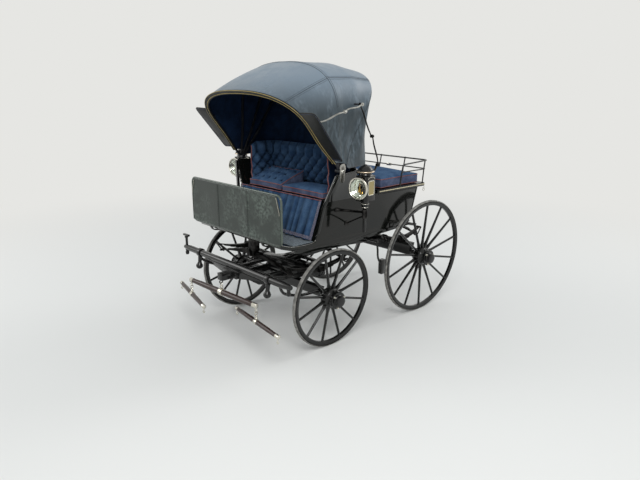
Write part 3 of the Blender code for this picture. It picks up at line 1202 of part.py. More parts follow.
def main():
    clear_scene()
    materials = {
        "paint": finish("black_coach_paint", (0.012, 0.013, 0.012), 0.12),
        "iron": finish("painted_spring_steel", (0.02, 0.02, 0.02), 0.35, 0.2),
        "bright_iron": finish("worn_bright_iron", (0.30, 0.30, 0.29), 0.35, 1.0),
        "nickel": finish("nickel_silver", (0.60, 0.57, 0.50), 0.22, 1.0),
        "bar": finish("varnished_bar", (0.05, 0.02, 0.015), 0.25),
        "rubber": finish("grey_rubber", (0.06, 0.06, 0.06), 0.85),
        "cloth": finish("navy_broadcloth", (0.02, 0.035, 0.10), 0.9),
        "carpet": finish("grey_carpet", (0.10, 0.11, 0.13), 0.95),
        "leather": finish("black_dash_leather", (0.02, 0.024, 0.020), 0.45),
        "hood": finish("blue_black_hood_leather", (0.035, 0.042, 0.052), 0.6),
        "bow": finish("ash_hood_bow", (0.02, 0.025, 0.05), 0.6),
        "lamp": finish("black_lamp_japan", (0.012, 0.012, 0.012), 0.15),
    }
    for side, word in ((1, "left"), (-1, "right")):
        make_wheel(f"front_{word}", side, FRONT_WHEEL_DIAMETER, FRONT_SPOKES, FRONT_Y, materials)
        make_wheel(f"rear_{word}", side, REAR_WHEEL_DIAMETER, REAR_SPOKES, REAR_Y, materials)
    make_fore_carriage(materials)
    make_draught_bars(materials)
    make_undercarriage(materials)
    make_springs(materials)
    make_body(materials)
    make_dash(materials)
    make_seat(materials)
    make_squab(materials)
    make_trimmings(materials)
    make_rear_rail(materials)
    make_bows(materials)
    make_hood(materials)
    make_wings(materials)
    make_irons(materials)
    make_lamps(materials)
    make_brake(materials)


main()
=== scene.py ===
"""Looks of a mail phaeton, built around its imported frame.

Lengths are metres, the front is towards -Y, up is +Z.
"""
import json
from math import asin, atan2, copysign, cos, degrees, exp, hypot, pi, radians, sin

import bpy
from mathutils import Matrix, Vector, noise


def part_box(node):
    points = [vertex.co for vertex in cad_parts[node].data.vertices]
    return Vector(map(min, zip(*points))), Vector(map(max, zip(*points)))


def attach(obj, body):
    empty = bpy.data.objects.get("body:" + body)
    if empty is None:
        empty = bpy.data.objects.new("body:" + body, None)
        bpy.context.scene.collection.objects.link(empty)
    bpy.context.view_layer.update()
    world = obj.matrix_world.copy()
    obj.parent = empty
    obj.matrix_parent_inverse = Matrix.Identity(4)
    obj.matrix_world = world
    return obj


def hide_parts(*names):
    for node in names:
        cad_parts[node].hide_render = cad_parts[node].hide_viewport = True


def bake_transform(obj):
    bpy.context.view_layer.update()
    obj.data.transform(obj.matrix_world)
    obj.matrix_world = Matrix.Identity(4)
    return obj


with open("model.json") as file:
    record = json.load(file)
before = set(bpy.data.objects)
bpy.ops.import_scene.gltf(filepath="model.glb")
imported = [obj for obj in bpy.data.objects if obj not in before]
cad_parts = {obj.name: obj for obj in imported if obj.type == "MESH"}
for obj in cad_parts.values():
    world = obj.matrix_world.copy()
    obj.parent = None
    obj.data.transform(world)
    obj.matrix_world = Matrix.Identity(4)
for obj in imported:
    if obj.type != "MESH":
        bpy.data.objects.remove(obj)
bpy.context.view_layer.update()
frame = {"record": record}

bl_info = {
    "name": "Mail Phaeton",
    "version": (1, 0, 0),
    "blender": (4, 5, 0),
    "location": "View3D > Sidebar > Phaeton",
    "description": "Builds the looks of a mail phaeton around its packed frame",
    "category": "Object",
}

JOINTS = {joint["name"]: joint for joint in frame["record"]["behaviour"]["joints"]}


def joint_place(name):
    """Where a joint of the frame is."""
    return Vector(JOINTS[name]["pos_m"])


SIDES = ((1, "left"), (-1, "right"))
X_AXIS = Vector((1, 0, 0))
Y_AXIS = Vector((0, 1, 0))
Z_AXIS = Vector((0, 0, 1))

# Places taken from the frame's joints and boxes
PIVOT = joint_place("hood_fold")
FRONT_HUB = joint_place("front_left_wheel_roll")
REAR_HUB = joint_place("rear_left_wheel_roll")
FRONT_Y = FRONT_HUB.y
_, SOCKET_Y, MAIN_BAR_Z = joint_place("main_bar_yaw")
LINK_TOP = joint_place("main_bar_swing").z

# Sizes shared by the body, its trimmings and the hood
HALF_BODY = 0.62
SEAT_Z = 1.305
DECK_Z = 1.333
FLOOR_Z = 0.97
FLOOR_DEPTH = 0.068
HEEL_AHEAD = 0.115
TAIL_Y = FRONT_Y + 1.255
ARM_Z = 1.545
ARM_SPREAD = 0.742
SQUAB_TOP = 1.735
# Each bow's lean from upright in degrees, the length of its legs and the rise of its crown
BOWS = ((-39, 0.48, 0.357), (0, 0.44, 0.45), (20, 0.49, 0.455), (33, 0.61, 0.395))
# Half the hood's width, and half its width where it spreads out at the pivot heads
HOOD_HALF = 0.69
HEAD_HALF = 0.735
# Steps of m up a leg and over half a crown, and how square the crown's shoulders are
CROWN_POWER = 2.5
LEG_STEPS = 4
CROWN_STEPS = 7
# How far the leather stands in between one bow and the next
SIDE_SLACK = (0.009, 0.006, 0.005, 0.006)
CROWN_SLACK = (-0.018, 0.003, 0.002, 0.009)


def linear(code):
    """An sRGB hex colour as linear red, green and blue."""
    values = [int(code[i : i + 2], 16) / 255 for i in (1, 3, 5)]
    return tuple(v / 12.92 if v <= 0.04045 else ((v + 0.055) / 1.055) ** 2.4 for v in values)


# Modelling helpers

def choose(*things):
    """Selects only these objects, the first of them active, or nothing."""
    bpy.ops.object.select_all(action="DESELECT")
    for thing in things:
        thing.select_set(True)
    bpy.context.view_layer.objects.active = things[0] if things else None


def settle(thing):
    """Applies the modifiers, then the object's place."""
    choose(thing)
    for modifier in list(thing.modifiers):
        bpy.ops.object.modifier_apply(modifier=modifier.name)
    bpy.ops.object.transform_apply(location=True, rotation=True, scale=True)
    return thing


def edit(thing, *steps):
    """Runs edit-mode operators on the whole of a mesh. Each step is an operator and its settings."""
    choose(thing)
    bpy.ops.object.mode_set(mode="EDIT")
    for operator, settings in steps:
        bpy.ops.mesh.select_all(action="SELECT")
        operator(**settings)
    bpy.ops.object.mode_set(mode="OBJECT")
    return thing


def join(things):
    """One object out of several."""
    choose(*things)
    if len(things) > 1:
        bpy.ops.object.join()
    return bpy.context.object


def dress(thing, finish):
    """Gives a shape one of the carriage's finishes, by its name."""
    thing.data.materials.clear()
    thing.data.materials.append(FINISHES[finish])
    return thing


def fit(parts, finish, *things):
    """Dresses shapes and adds them to the parts of a piece."""
    parts.extend(dress(thing, finish) for thing in things)


def soften(thing, width, segments=2, angle=35.0):
    """Rounds the edges over."""
    bevel = thing.modifiers.new("Rounding", "BEVEL")
    bevel.width = width
    bevel.segments = segments
    bevel.limit_method = "ANGLE"
    bevel.angle_limit = radians(angle)
    return settle(thing)


def subdivide(thing, levels=1):
    """Smooths a mesh by splitting its faces."""
    finer = thing.modifiers.new("Finer", "SUBSURF")
    finer.levels = levels
    finer.render_levels = levels
    return settle(thing)


def thicken(thing, thickness, offset=-1.0):
    """Gives a sheet its wall: an offset of -1 lays it behind the face, and 0 on both sides."""
    wall = thing.modifiers.new("Wall", "SOLIDIFY")
    wall.thickness = thickness
    wall.offset = offset
    wall.use_even_offset = False
    return settle(thing)


def box(low, high, rounding=0.0, segments=2):
    """A block between two corners."""
    choose()
    low, high = Vector(low), Vector(high)
    bpy.ops.mesh.primitive_cube_add(size=1, location=(low + high) / 2)
    thing = bpy.context.object
    thing.scale = high - low
    settle(thing)
    return soften(thing, rounding, segments) if rounding else thing


def net(rows, ring=False, loop=False):
    """A grid laid through rows of points; ring closes each row, and loop joins the last row to the first."""
    rows = [list(row) for row in rows]
    if ring:
        rows = [row + row[:1] for row in rows]
    if loop:
        rows = rows + rows[:1]
    choose()
    bpy.ops.mesh.primitive_grid_add(x_subdivisions=len(rows[0]) - 1, y_subdivisions=len(rows) - 1, size=1)
    thing = bpy.context.object
    thing.data.vertices.foreach_set("co", [c for row in rows for point in row for c in point])
    thing.data.update()
    if ring or loop:
        edit(thing, (bpy.ops.mesh.remove_doubles, {"threshold": 1e-6}),
            (bpy.ops.mesh.fill_holes, {"sides": 0}), (bpy.ops.mesh.normals_make_consistent,
            {"inside": False}))
    return thing


def across(direction):
    """Two unit vectors square to a direction."""
    forward = Vector(direction).normalized()
    helper = Z_AXIS if abs(forward.z) < 0.9 else X_AXIS
    side = forward.cross(helper).normalized()
    return side, side.cross(forward)


def turns(count):
    """Equal steps round a circle."""
    return [2 * pi * k / count for k in range(count)]


def lathe(profile, start, axis, segments=32):
    """A turned shape: profile is (distance along the axis, radius) from end to end."""
    start, along = Vector(start), Vector(axis).normalized()
    side, up = across(along)
    return net([[start + along * d + (side * cos(a) + up * sin(a)) * max(r, 1e-7) for a in turns(segments)]
        for d, r in profile], ring=True)


def hoop(section, centre, axis, segments=64):
    """A ring: (along the axis, radius) points swept right round."""
    centre, along = Vector(centre), Vector(axis).normalized()
    side, up = across(along)
    rows = []
    for angle in turns(segments):
        out = side * cos(angle) + up * sin(angle)
        rows.append([centre + along * d + out * r for d, r in section])
    return net(rows, ring=True, loop=True)


def round_section(radius, thickness, sides=8):
    """The section of a ring of round wire."""
    return [(thickness * cos(a), radius + thickness * sin(a)) for a in turns(sides)]


def wire_ring(radius, thickness, centre, axis, segments, sides=8):
    """A ring of round wire."""
    return hoop(round_section(radius, thickness, sides), centre, axis, segments)


def ways(path, closed=False):
    """The direction at each point of a path."""
    if closed:
        return [(b - a).normalized() for a, b in zip(path[-1:] + path[:-1], path[1:] + path[:1])]
    steps = [(b - a).normalized() for a, b in zip(path, path[1:])]
    return [steps[0], *[(a + b).normalized() for a, b in zip(steps, steps[1:])], steps[-1]]


def pipe(path, radius, sides=8, closed=False):
    """A round bar, cord or bead bent along a path. The radius may be a list."""
    path = [Vector(point) for point in path]
    radii = radius if isinstance(radius, (list, tuple)) else [radius] * len(path)
    directions = ways(path, closed)
    side = across(directions[0])[0]
    rows = []
    for point, way, size in zip(path, directions, radii):
        side = (side - way * side.dot(way)).normalized()
        up = side.cross(way)
        rows.append([point + (side * cos(a) + up * sin(a)) * size for a in turns(sides)])
    return net(rows, ring=True, loop=closed)


def bar(path, width, depth, side=X_AXIS, rounding=0.002):
    """A flat bar bent along a path: width lies along side. Either size may be a list."""
    path = [Vector(point) for point in path]
    widths = width if isinstance(width, (list, tuple)) else [width] * len(path)
    depths = depth if isinstance(depth, (list, tuple)) else [depth] * len(path)
    rows = []
    for point, way, wide, deep in zip(path, ways(path), widths, depths):
        flat = (Vector(side) - way * way.dot(side)).normalized()
        thick = way.cross(flat)
        rows.append([point + flat * a * wide / 2 + thick * b * deep / 2 for a,
            b in ((-1, -1), (1, -1), (1, 1), (-1, 1))])
    thing = net(rows, ring=True)
    return soften(thing, rounding) if rounding else thing


def plate(outline, thickness, rounding=0.0):
    """A flat sheet of any outline, given as points in space, with its thickness behind its face."""
    choose()
    bpy.ops.mesh.primitive_circle_add(vertices=len(outline), fill_type="NGON")
    thing = bpy.context.object
    thing.data.vertices.foreach_set("co", [c for point in outline for c in point])
    thing.data.update()
    thicken(thing, thickness)
    edit(thing, (bpy.ops.mesh.normals_make_consistent, {"inside": False}))
    return soften(thing, rounding) if rounding else thing


def spline(a, b, c, d, t):
    """A smooth curve that runs from b to c as t goes from 0 to 1, between its neighbours a and d."""
    return (b * 2 + (c - a) * t + (a * 2 - b * 5 + c * 4 - d) * t * t + (b * 3 - a - c * 3 + d) * t ** 3) / 2


def curve(points, steps=6):
    """A smooth path through points."""
    points = [Vector(point) for point in points]
    padded = [points[0] * 2 - points[1], *points, points[-1] * 2 - points[-2]]
    path = [spline(*padded[i - 1 : i + 3], k / steps) for i in range(1, len(padded) - 2)
        for k in range(steps)]
    return [*path, points[-1]]


def rounded(low, high, radius, steps=6):
    """A rectangle's outline with round corners."""
    (x0, y0), (x1, y1) = low, high
    outline = []
    for cx, cy, first in ((x1 - radius, y0 + radius, -90), (x1 - radius, y1 - radius, 0),
            (x0 + radius, y1 - radius, 90), (x0 + radius, y0 + radius, 180)):
        for i in range(steps + 1):
            angle = radians(first + 90 * i / steps)
            outline.append((cx + radius * cos(angle), cy + radius * sin(angle)))
    return outline


def placed_copy(thing, matrix):
    """A copy with its own mesh, moved by a matrix."""
    other = thing.copy()
    other.data = thing.data.copy()
    bpy.context.scene.collection.objects.link(other)
    other.data.transform(matrix)
    return other


def finish_piece(thing, name, body=None, nodes=(), angle=40.0):
    """Names a piece, places it, shades it, and hands it to its body."""
    thing.name = name
    thing.data.name = name
    settle(thing)
    bpy.ops.object.shade_smooth_by_angle(angle=radians(angle))
    if body:
        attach(thing, body)
    if nodes:
        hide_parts(*nodes)
    return thing


# Materials

def add(material, kind, inputs=None, **settings):
    """One node with its settings; an input is given a value, or a socket to be linked from."""
    tree = material.node_tree
    node = tree.nodes.new(f"ShaderNode{kind}")
    for name, value in settings.items():
        setattr(node, name, value)
    for name, value in (inputs or {}).items():
        if isinstance(value, bpy.types.NodeSocket):
            tree.links.new(value, node.inputs[name])
        else:
            node.inputs[name].default_value = value
    return node


def start(name, sockets):
    """A new material with its shader's sockets set."""
    material = bpy.data.materials.new(name)
    material.use_nodes = True
    shader = material.node_tree.nodes["Principled BSDF"]
    for key, value in sockets.items():
        shader.inputs[key].default_value = (*value, 1.0) if isinstance(value,
            tuple) and len(value) == 3 else value
    return material, shader


def wire(material, shader, colour=None, roughness=None, height=None, strength=0.2, distance=0.001):
    """Links a pattern's colour, roughness and relief into the shader."""
    links = material.node_tree.links
    if colour is not None:
        links.new(colour, shader.inputs["Base Color"])
    if roughness is not None:
        links.new(roughness, shader.inputs["Roughness"])
    if height is not None:
        bump = add(material, "Bump", {"Height": height, "Strength": strength, "Distance": distance})
        links.new(bump.outputs[0], shader.inputs["Normal"])
    return material


def cloud(material, millimetres, detail=4.0, stretch=(1, 1, 1), low=0.35, high=0.65):
    """Uneven patches of a given size in millimetres, as a value from 0 to 1."""
    coordinates = add(material, "TexCoord")
    mapping = add(material, "Mapping", {"Vector": coordinates.outputs["Object"], "Scale": stretch})
    pattern = add(material, "TexNoise", {"Vector": mapping.outputs[0], "Scale": 1000 / millimetres,
        "Detail": detail, "Roughness": 0.55})
    spread = add(material, "MapRange", {"Value": pattern.outputs[0], "From Min": low, "From Max": high})
    return spread.outputs[0]


def mix(material, factor, first, second):
    """A blend of two colours or sockets."""
    values = {0: factor, 6: first if not isinstance(first, tuple) else (*first, 1.0),
        7: second if not isinstance(second, tuple) else (*second, 1.0)}
    return add(material, "Mix", values, data_type="RGBA").outputs[2]


def between(material, factor, low, high):
    """A factor spread over the range from low to high."""
    return add(material, "MapRange", {"Value": factor, "To Min": low, "To Max": high}).outputs[0]


def coach_enamel(name, colour, dust=0.04, gloss=0.1):
    """Coach enamel: many rubbed coats under varnish, so a deep clear gloss with a thin film of road dust."""
    material, shader = start(name, {"Base Color": colour, "Roughness": gloss, "Coat Weight": 0.3,
        "Coat Roughness": 0.02, "Specular IOR Level": 0.3})
    film = cloud(material, 180, 6.0)
    specks = cloud(material, 9, 3.0, low=0.45, high=0.75)
    amount = add(material, "Math", {0: film, 1: specks}, operation="MULTIPLY").outputs[0]
    amount = add(material, "Math", {0: amount, 1: dust}, operation="MULTIPLY").outputs[0]
    tint = mix(material, amount, colour, linear("#6f6b62"))
    return wire(material, shader, tint, between(material, film, gloss * 0.8, gloss * 1.7), film, 0.05, 0.002)


def worn_iron(name, bright, dark, roughness=0.34, patch=40):
    """Forged iron whose black paint has been rubbed off: bare bright metal with dark patches."""
    material, shader = start(name, {"Metallic": 1.0, "Roughness": roughness})
    rubbed = cloud(material, patch, 8.0, low=0.38, high=0.6)
    grain = cloud(material, 3, 2.0)
    return wire(material, shader, mix(material, rubbed, dark, bright),
        between(material, grain, roughness, roughness + 0.2), grain, 0.15, 0.0005)


def plain_metal(name, colour, roughness):
    """Plated or polished metal: a clean mirror dulled by fine wiping marks."""
    material, shader = start(name, {"Base Color": colour, "Metallic": 1.0, "Roughness": roughness})
    marks = cloud(material, 14, 6.0, stretch=(1, 1, 4))
    return wire(material, shader, None, between(material, marks, roughness * 0.7, roughness * 1.6),
        marks, 0.04, 0.0004)


def leather(name, colour, scuff, streak=(1, 1, 1), roughness=0.42, amount=0.55, patch=120, sky_reflection_colour=None):
    """Waxed cowhide: a fine pebbled grain and pale scuffs from handling, which a stretch draws out into
    streaks that also stand for painted highlights, and, when a colour is given for it, a painted reflection
    of the sky that lightens the top.
    """
    material, shader = start(name, {"Roughness": roughness, "Coat Weight": 0.12, "Coat Roughness": 0.3,
        "Specular IOR Level": 0.4})
    scuffs = cloud(material, patch, 9.0, stretch=streak, low=0.42, high=0.72)
    fine = cloud(material, 22, 8.0, stretch=streak, low=0.4, high=0.75)
    rubbed = add(material, "Math", {0: scuffs, 1: fine}, operation="MULTIPLY").outputs[0]
    rubbed = add(material, "Math", {0: rubbed, 1: amount}, operation="MULTIPLY").outputs[0]
    coordinates = add(material, "TexCoord")
    # The hide's pebbles are about 1 mm; they are drawn at 4 mm so that they show
    pebbles = add(material, "TexVoronoi", {"Vector": coordinates.outputs["Object"], "Scale": 250.0})
    relief = add(material, "Math", {0: pebbles.outputs[0], 1: scuffs}, operation="ADD").outputs[0]
    tint = mix(material, rubbed, colour, scuff)
    # Painted sky reflection: the leather is drawn paler with height, towards the top of the hood
    if sky_reflection_colour:
        height = add(material, "SeparateXYZ", {0: coordinates.outputs["Object"]}).outputs[2]
        crown = add(material, "MapRange", {"Value": height, "From Min": 2.02, "From Max": 2.4,
            "To Max": 0.85}, interpolation_type="SMOOTHSTEP").outputs[0]
        tint = mix(material, crown, tint, sky_reflection_colour)
    return wire(material, shader, tint, between(material, scuffs, roughness, roughness + 0.22),
        relief, 0.22, 0.0012)


def broadcloth(name, colour, worn, roughness=0.95):
    """Milled wool cloth: a short felted nap with a soft sheen, faded in patches, and painted shade that
    darkens the bottoms of its folds so that the crowns stand paler.
    """
    material, shader = start(name, {"Roughness": roughness, "Sheen Weight": 0.12, "Sheen Roughness": 0.5,
        "Sheen Tint": worn, "Specular IOR Level": 0.15})
    fade = cloud(material, 90, 5.0)
    nap = cloud(material, 3.2, 3.0, low=0.3, high=0.7)
    amount = add(material, "Math", {0: fade, 1: nap}, operation="MULTIPLY").outputs[0]
    # Painted shade: the bottoms of the folds are drawn nearly black, as the shadow that lies in them
    fold = add(material, "Attribute", attribute_name="fold").outputs["Fac"]
    tint = mix(material, fold, mix(material, amount, colour, worn), tuple(c * 0.16 for c in colour))
    return wire(material, shader, tint, None, nap, 0.35, 0.001)


def mark_fold_shade(thing, depths):
    """Records how deep in a fold each point of a cloth lies, from 0 on the crowns to 1, as the amount of
    painted shade that the cloth gets there.
    """
    thing.data.attributes.new("fold", "FLOAT", "POINT").data.foreach_set("value", depths)


def woven_lace(name, ground, thread, millimetres=9):
    """Coach lace: a narrow woven band, its pale figure standing out of a darker ground."""
    material, shader = start(name, {"Roughness": 0.9, "Sheen Weight": 0.2})
    coordinates = add(material, "TexCoord")
    figure = add(material, "TexVoronoi", {"Vector": coordinates.outputs["Object"],
        "Scale": 1000 / millimetres})
    spread = add(material, "MapRange", {"Value": figure.outputs[0], "From Min": 0.2, "From Max": 0.6})
    return wire(material, shader, mix(material, spread.outputs[0], thread, ground), None,
        figure.outputs[0], 0.4, 0.001)


def solid_rubber(name, colour, worn):
    """Solid rubber tyre: chalky grey where the road has scrubbed it, darker where it is sheltered."""
    material, shader = start(name, {"Roughness": 0.85})
    scrub = cloud(material, 35, 8.0)
    grit = cloud(material, 2.5, 2.0)
    return wire(material, shader, mix(material, scrub, colour, worn), None, grit, 0.5, 0.0008)


def clear_glass(name):
    """Bevelled lamp glass: clear, very smooth, and faintly green."""
    material, _ = start(name, {"Base Color": linear("#eef3ee"), "Roughness": 0.02,
        "Transmission Weight": 1.0, "IOR": 1.5})
    return material


def ribbed_mat(name, colour, inlay):
    """Carriage mat: ribbed grey pile, darker between its ribs."""
    material, shader = start(name, {"Roughness": 0.97})
    coordinates = add(material, "TexCoord")
    ribs = add(material, "TexWave", {"Vector": coordinates.outputs["Object"], "Scale": 52.0},
        bands_direction="X")
    spots = cloud(material, 16, 4.0)
    amount = add(material, "Math", {0: spots, 1: ribs.outputs[1]}, operation="MULTIPLY").outputs[0]
    return wire(material, shader, mix(material, amount, inlay, colour), None, ribs.outputs[1], 0.6, 0.002)


FINISHES = {}


def make_finishes(colours):
    """Every finish of the carriage, under the name that its pieces use."""
    f = FINISHES
    f["enamel"] = coach_enamel("gloss_black_coach_enamel", tuple(colours.enamel))
    f["running"] = coach_enamel("black_running_gear_enamel", linear("#090a0a"), 0.1, 0.14)
    f["spring"] = worn_iron("spring_steel_with_worn_paint", linear("#3c3b3a"), linear("#0d0d0d"), 0.38, 55)
    f["iron"] = worn_iron("worn_bright_iron", linear("#c2c1bb"), linear("#8c8c88"), 0.24, 90)
    f["tube"] = coach_enamel("grey_green_dash_tube", linear("#4a544c"), 0.3, 0.12)
    f["nickel"] = plain_metal("tarnished_nickel_silver", linear("#d2cfc4"), 0.16)
    f["brass"] = plain_metal("polished_brass", linear("#c39a55"), 0.18)
    f["mirror"] = plain_metal("silvered_reflector", linear("#f2f1ec"), 0.06)
    f["rubber"] = solid_rubber("scrubbed_grey_rubber", linear("#5c5b58"), linear("#8f8d88"))
    # The hood's pale scuffs are stretched upright into streaks that are partly scuffs and partly painted
    # highlights along its creases, and its paler top is a painted sky reflection
    f["hood"] = leather("blue_black_hood_leather", linear("#2f3a40"), linear("#8695a0"), (1, 1, 0.35), 0.36,
        0.8, sky_reflection_colour=linear("#7b8b99"))
    f["seam"] = leather("dark_sewn_seam", linear("#22292e"), linear("#505c65"))
    f["wing"] = leather("olive_black_wing_leather", linear("#080a07"), linear("#2c3028"),
        roughness=0.5, amount=0.3)
    # The dash leather is black: the green tint in its colours is a painted reflection
    f["dash"] = leather("black_dash_leather", linear("#222b26"), linear("#76837a"), roughness=0.3,
        amount=0.95, patch=240)
    f["bow"] = leather("leather_bound_ash_bow", linear("#14151a"), linear("#2d3038"), amount=0.4)
    f["lining"] = broadcloth("dark_navy_hood_lining", linear("#0e1c30"), linear("#1a3050"))
    f["cloth"] = broadcloth("navy_wool_broadcloth", tuple(colours.cloth), linear("#54718f"))
    f["border"] = broadcloth("grey_blue_cushion_border", linear("#414a63"), linear("#6d7690"))
    f["piping"] = broadcloth("rose_brown_piping", tuple(colours.piping), linear("#a37a76"))
    f["cream"] = coach_enamel("cream_lining_paint", linear("#cdc3a2"), 0.3, 0.35)
    f["cream_piping"] = broadcloth("cream_welt_piping", linear("#b9a66d"), linear("#8b7c50"))
    f["lace"] = woven_lace("rose_grey_coach_lace", linear("#44485c"), linear("#857d87"), 6)
    f["mat"] = ribbed_mat("ribbed_grey_mat", linear("#99a3a9"), linear("#5c656c"))
    f["bar"] = coach_enamel("dark_varnished_ash", linear("#2b1611"), 0.25, 0.26)
    f["lamp"] = coach_enamel("black_japanned_tin", linear("#0b0b0c"), 0.08, 0.12)
    f["glass"] = clear_glass("bevelled_lamp_glass")
    f["wick"] = start("unglazed_burner_clay", {"Base Color": linear("#b08c6c"), "Roughness": 0.6})[0]
    # The side panes are yellowed glass against a bright lining, so they are drawn as a dull mirror
    f["pane"] = plain_metal("yellowed_lamp_window", linear("#a99c72"), 0.12)
    f["cap_ring"] = plain_metal("pale_brass_cap_ring", linear("#dcc9b0"), 0.14)
    f["step"] = worn_iron("step_tread_iron", linear("#6e6d6a"), linear("#151515"), 0.5, 18)


# Wheels

RIM_DEPTH = 0.036
RIM_WIDTH = 0.034
TYRE_DEPTH = 0.0164
TYRE_WIDTH = 0.03
TYRE_TREAD = 0.018
NAVE_INNER = -0.1
NAVE_RADIUS = 0.074
CAP_SEAT = 0.077
SPOKE_FOOT = -0.026


def wheel_place(side, hub):
    """The wheel is built about local X with its outer face forward, then cambered on its hub."""
    axis = Vector(JOINTS["front_left_wheel_roll" if side > 0 else "front_right_wheel_roll"]["axis"])
    tilt = asin(-axis.z * side)
    facing = Matrix.Rotation(0.0 if side > 0 else pi, 4, "Z")
    return Matrix.Translation((side * hub.x, hub.y, hub.z)) @ Matrix.Rotation(side * tilt, 4, "Y") @ facing


def make_spoke(foot_r, tip_r):
    """A shaved spoke: square at the nave, a slim oval throat, flat-backed, and a round tongue at the rim."""
    stations = [(0, 0.034, 0.029, 9.0), (0.1, 0.033, 0.028, 6.0), (0.2, 0.029, 0.022, 2.6),
        (0.45, 0.027, 0.022, 2.2), (0.75, 0.024, 0.022, 2.1), (0.94, 0.023, 0.021, 2.4),
        (1.0, 0.022, 0.021, 3.0)]
    rows = []
    for share, wide, thick, power in stations:
        radius = foot_r + (tip_r - foot_r) * share
        x = SPOKE_FOOT * (1 - share)
        ring = []
        for angle in turns(14):
            c, s = cos(angle), sin(angle)
            size = (abs(c) ** power + abs(s) ** power) ** (-1 / power)
            ring.append((x + c * size * wide / 2, s * size * thick / 2, radius))
        rows.append(ring)
    return net(rows, ring=True)


def make_wheel(name, side, hub, radius, spokes):
    """A wheel with its nave, spokes and rim, then its hub cap, then its tyre."""
    place = wheel_place(side, hub)
    body = f"{name}_wheel"
    channel = radius - TYRE_DEPTH
    rim_inner = channel - RIM_DEPTH
    half = RIM_WIDTH / 2
    felloe = [(-half, channel), (-half, rim_inner + 0.01), (-half * 0.72, rim_inner + 0.002), (0, rim_inner),
        (half * 0.72, rim_inner + 0.002), (half, rim_inner + 0.01), (half, channel)]
    parts = [hoop(felloe, (0, 0, 0), X_AXIS, 96)]
    spoke = make_spoke(NAVE_RADIUS, rim_inner + 0.006)
    for i in range(spokes):
        turn = 2 * pi * (i + 0.5) / spokes - pi / 2
        parts.append(placed_copy(spoke, Matrix.Rotation(turn, 4, "X")))
    bpy.data.objects.remove(spoke, do_unlink=True)
    nave = lathe([(0, 0), (0.001, 0.058), (0.006, 0.062), (0.04, 0.074), (0.047, 0.078), (0.052, 0.09),
        (0.056, 0.094), (0.102, 0.094), (0.107, 0.092), (0.111, 0.084), (0.116, 0.08), (0.15, 0.071),
        (0.166, 0.067), (0.168, 0.078), (0.172, 0.08), (0.177, 0.078), (0.179, 0.056), (0.18, 0)],
        (NAVE_INNER, 0, 0), X_AXIS, 48)
    parts.append(nave)
    for at, inner_face, outer_face in ((0.056, 0.0965, 0.0965), (0.15, 0.074, 0.0735)):
        band = [(at - 0.006, 0.072), (at - 0.006, inner_face), (at + 0.006, outer_face), (at + 0.006, 0.07)]
        parts.append(hoop(band, (NAVE_INNER, 0, 0), X_AXIS, 48))
    wheel = dress(join(parts), "running")
    wheel.data.transform(place)
    finish_piece(wheel, f"{name}_spoked_wheel", body, [f"{name}_wheel"])

    cap = lathe([(0, 0), (0, 0.0545), (0.004, 0.056), (0.008, 0.0545), (0.012, 0.05), (0.03, 0.049),
        (0.036, 0.047), (0.0395, 0.04), (0.0405, 0.02), (0.041, 0)], (CAP_SEAT, 0, 0), X_AXIS, 48)
    parts = [dress(cap, "lamp")]
    for angle in turns(3):
        out = Vector((0, cos(angle + 0.35), sin(angle + 0.35))) * 0.0665
        fit(parts, "iron", lathe([(0, 0), (0, 0.011), (0.002, 0.011), (0.0022, 0)],
            out + X_AXIS * CAP_SEAT, X_AXIS, 16))
        nut = lathe([(0, 0), (0, 0.0092), (0.008, 0.0092), (0.0095, 0.008), (0.0096, 0)],
            out + X_AXIS * (CAP_SEAT + 0.002), X_AXIS, 6)
        end = lathe([(0, 0), (0, 0.0045), (0.004, 0.0042), (0.005, 0.003), (0.0052, 0)],
            out + X_AXIS * (CAP_SEAT + 0.011), X_AXIS, 12)
        fit(parts, "nickel", nut, end)
    hub_cap = join(parts)
    hub_cap.data.transform(place)
    finish_piece(hub_cap, f"{name}_hub_cap", body, ())

    half = TYRE_WIDTH / 2
    flat = TYRE_TREAD / 2
    rubber = [(-half, channel + 0.0012), (-half, channel + 0.006), (-flat - 0.003, radius - 0.0022),
        (-flat, radius), (flat, radius), (flat + 0.003, radius - 0.0022), (half, channel + 0.006),
        (half, channel + 0.0012)]
    tread = dress(hoop(rubber, (0, 0, 0), X_AXIS, 120), "rubber")
    edge = RIM_WIDTH / 2 + 0.0006
    steel = [(-edge, channel - 0.003), (-edge, channel + 0.005), (-half - 0.0002, channel + 0.0052),
        (-half - 0.0002, channel), (half + 0.0002, channel), (half + 0.0002, channel + 0.0052),
        (edge, channel + 0.005), (edge, channel - 0.003)]
    rim_iron = dress(hoop(steel, (0, 0, 0), X_AXIS, 120), "spring")
    tyre = join([tread, rim_iron])
    tyre.data.transform(place)
    finish_piece(tyre, f"{name}_solid_tyre", body, [f"{name}_tyre"])


# Springs

LEAF = 0.009
SPRING_LEAVES = 5
SPRING_WIDTH = 0.042
EYE_RADIUS = 0.012
CROSS_EYE = 0.014
CROSS_RISE = 0.101


def spring_leaf(centre, along, reach, half, arch, level, up):
    """One leaf: flat through its length, with a tapered rounded point at each end."""
    steps = 24
    path = []
    widths = []
    for k in range(-steps, steps + 1):
        s = reach * k / steps
        path.append(centre + along * s + Z_AXIS * up * (level + arch * (s / half) ** 2))
        widths.append(SPRING_WIDTH * (0.45 + 0.55 * min(1.0, (reach - abs(s)) / 0.022)))
    return bar(path, widths, LEAF * 0.86, along.cross(Z_AXIS), 0.0018)


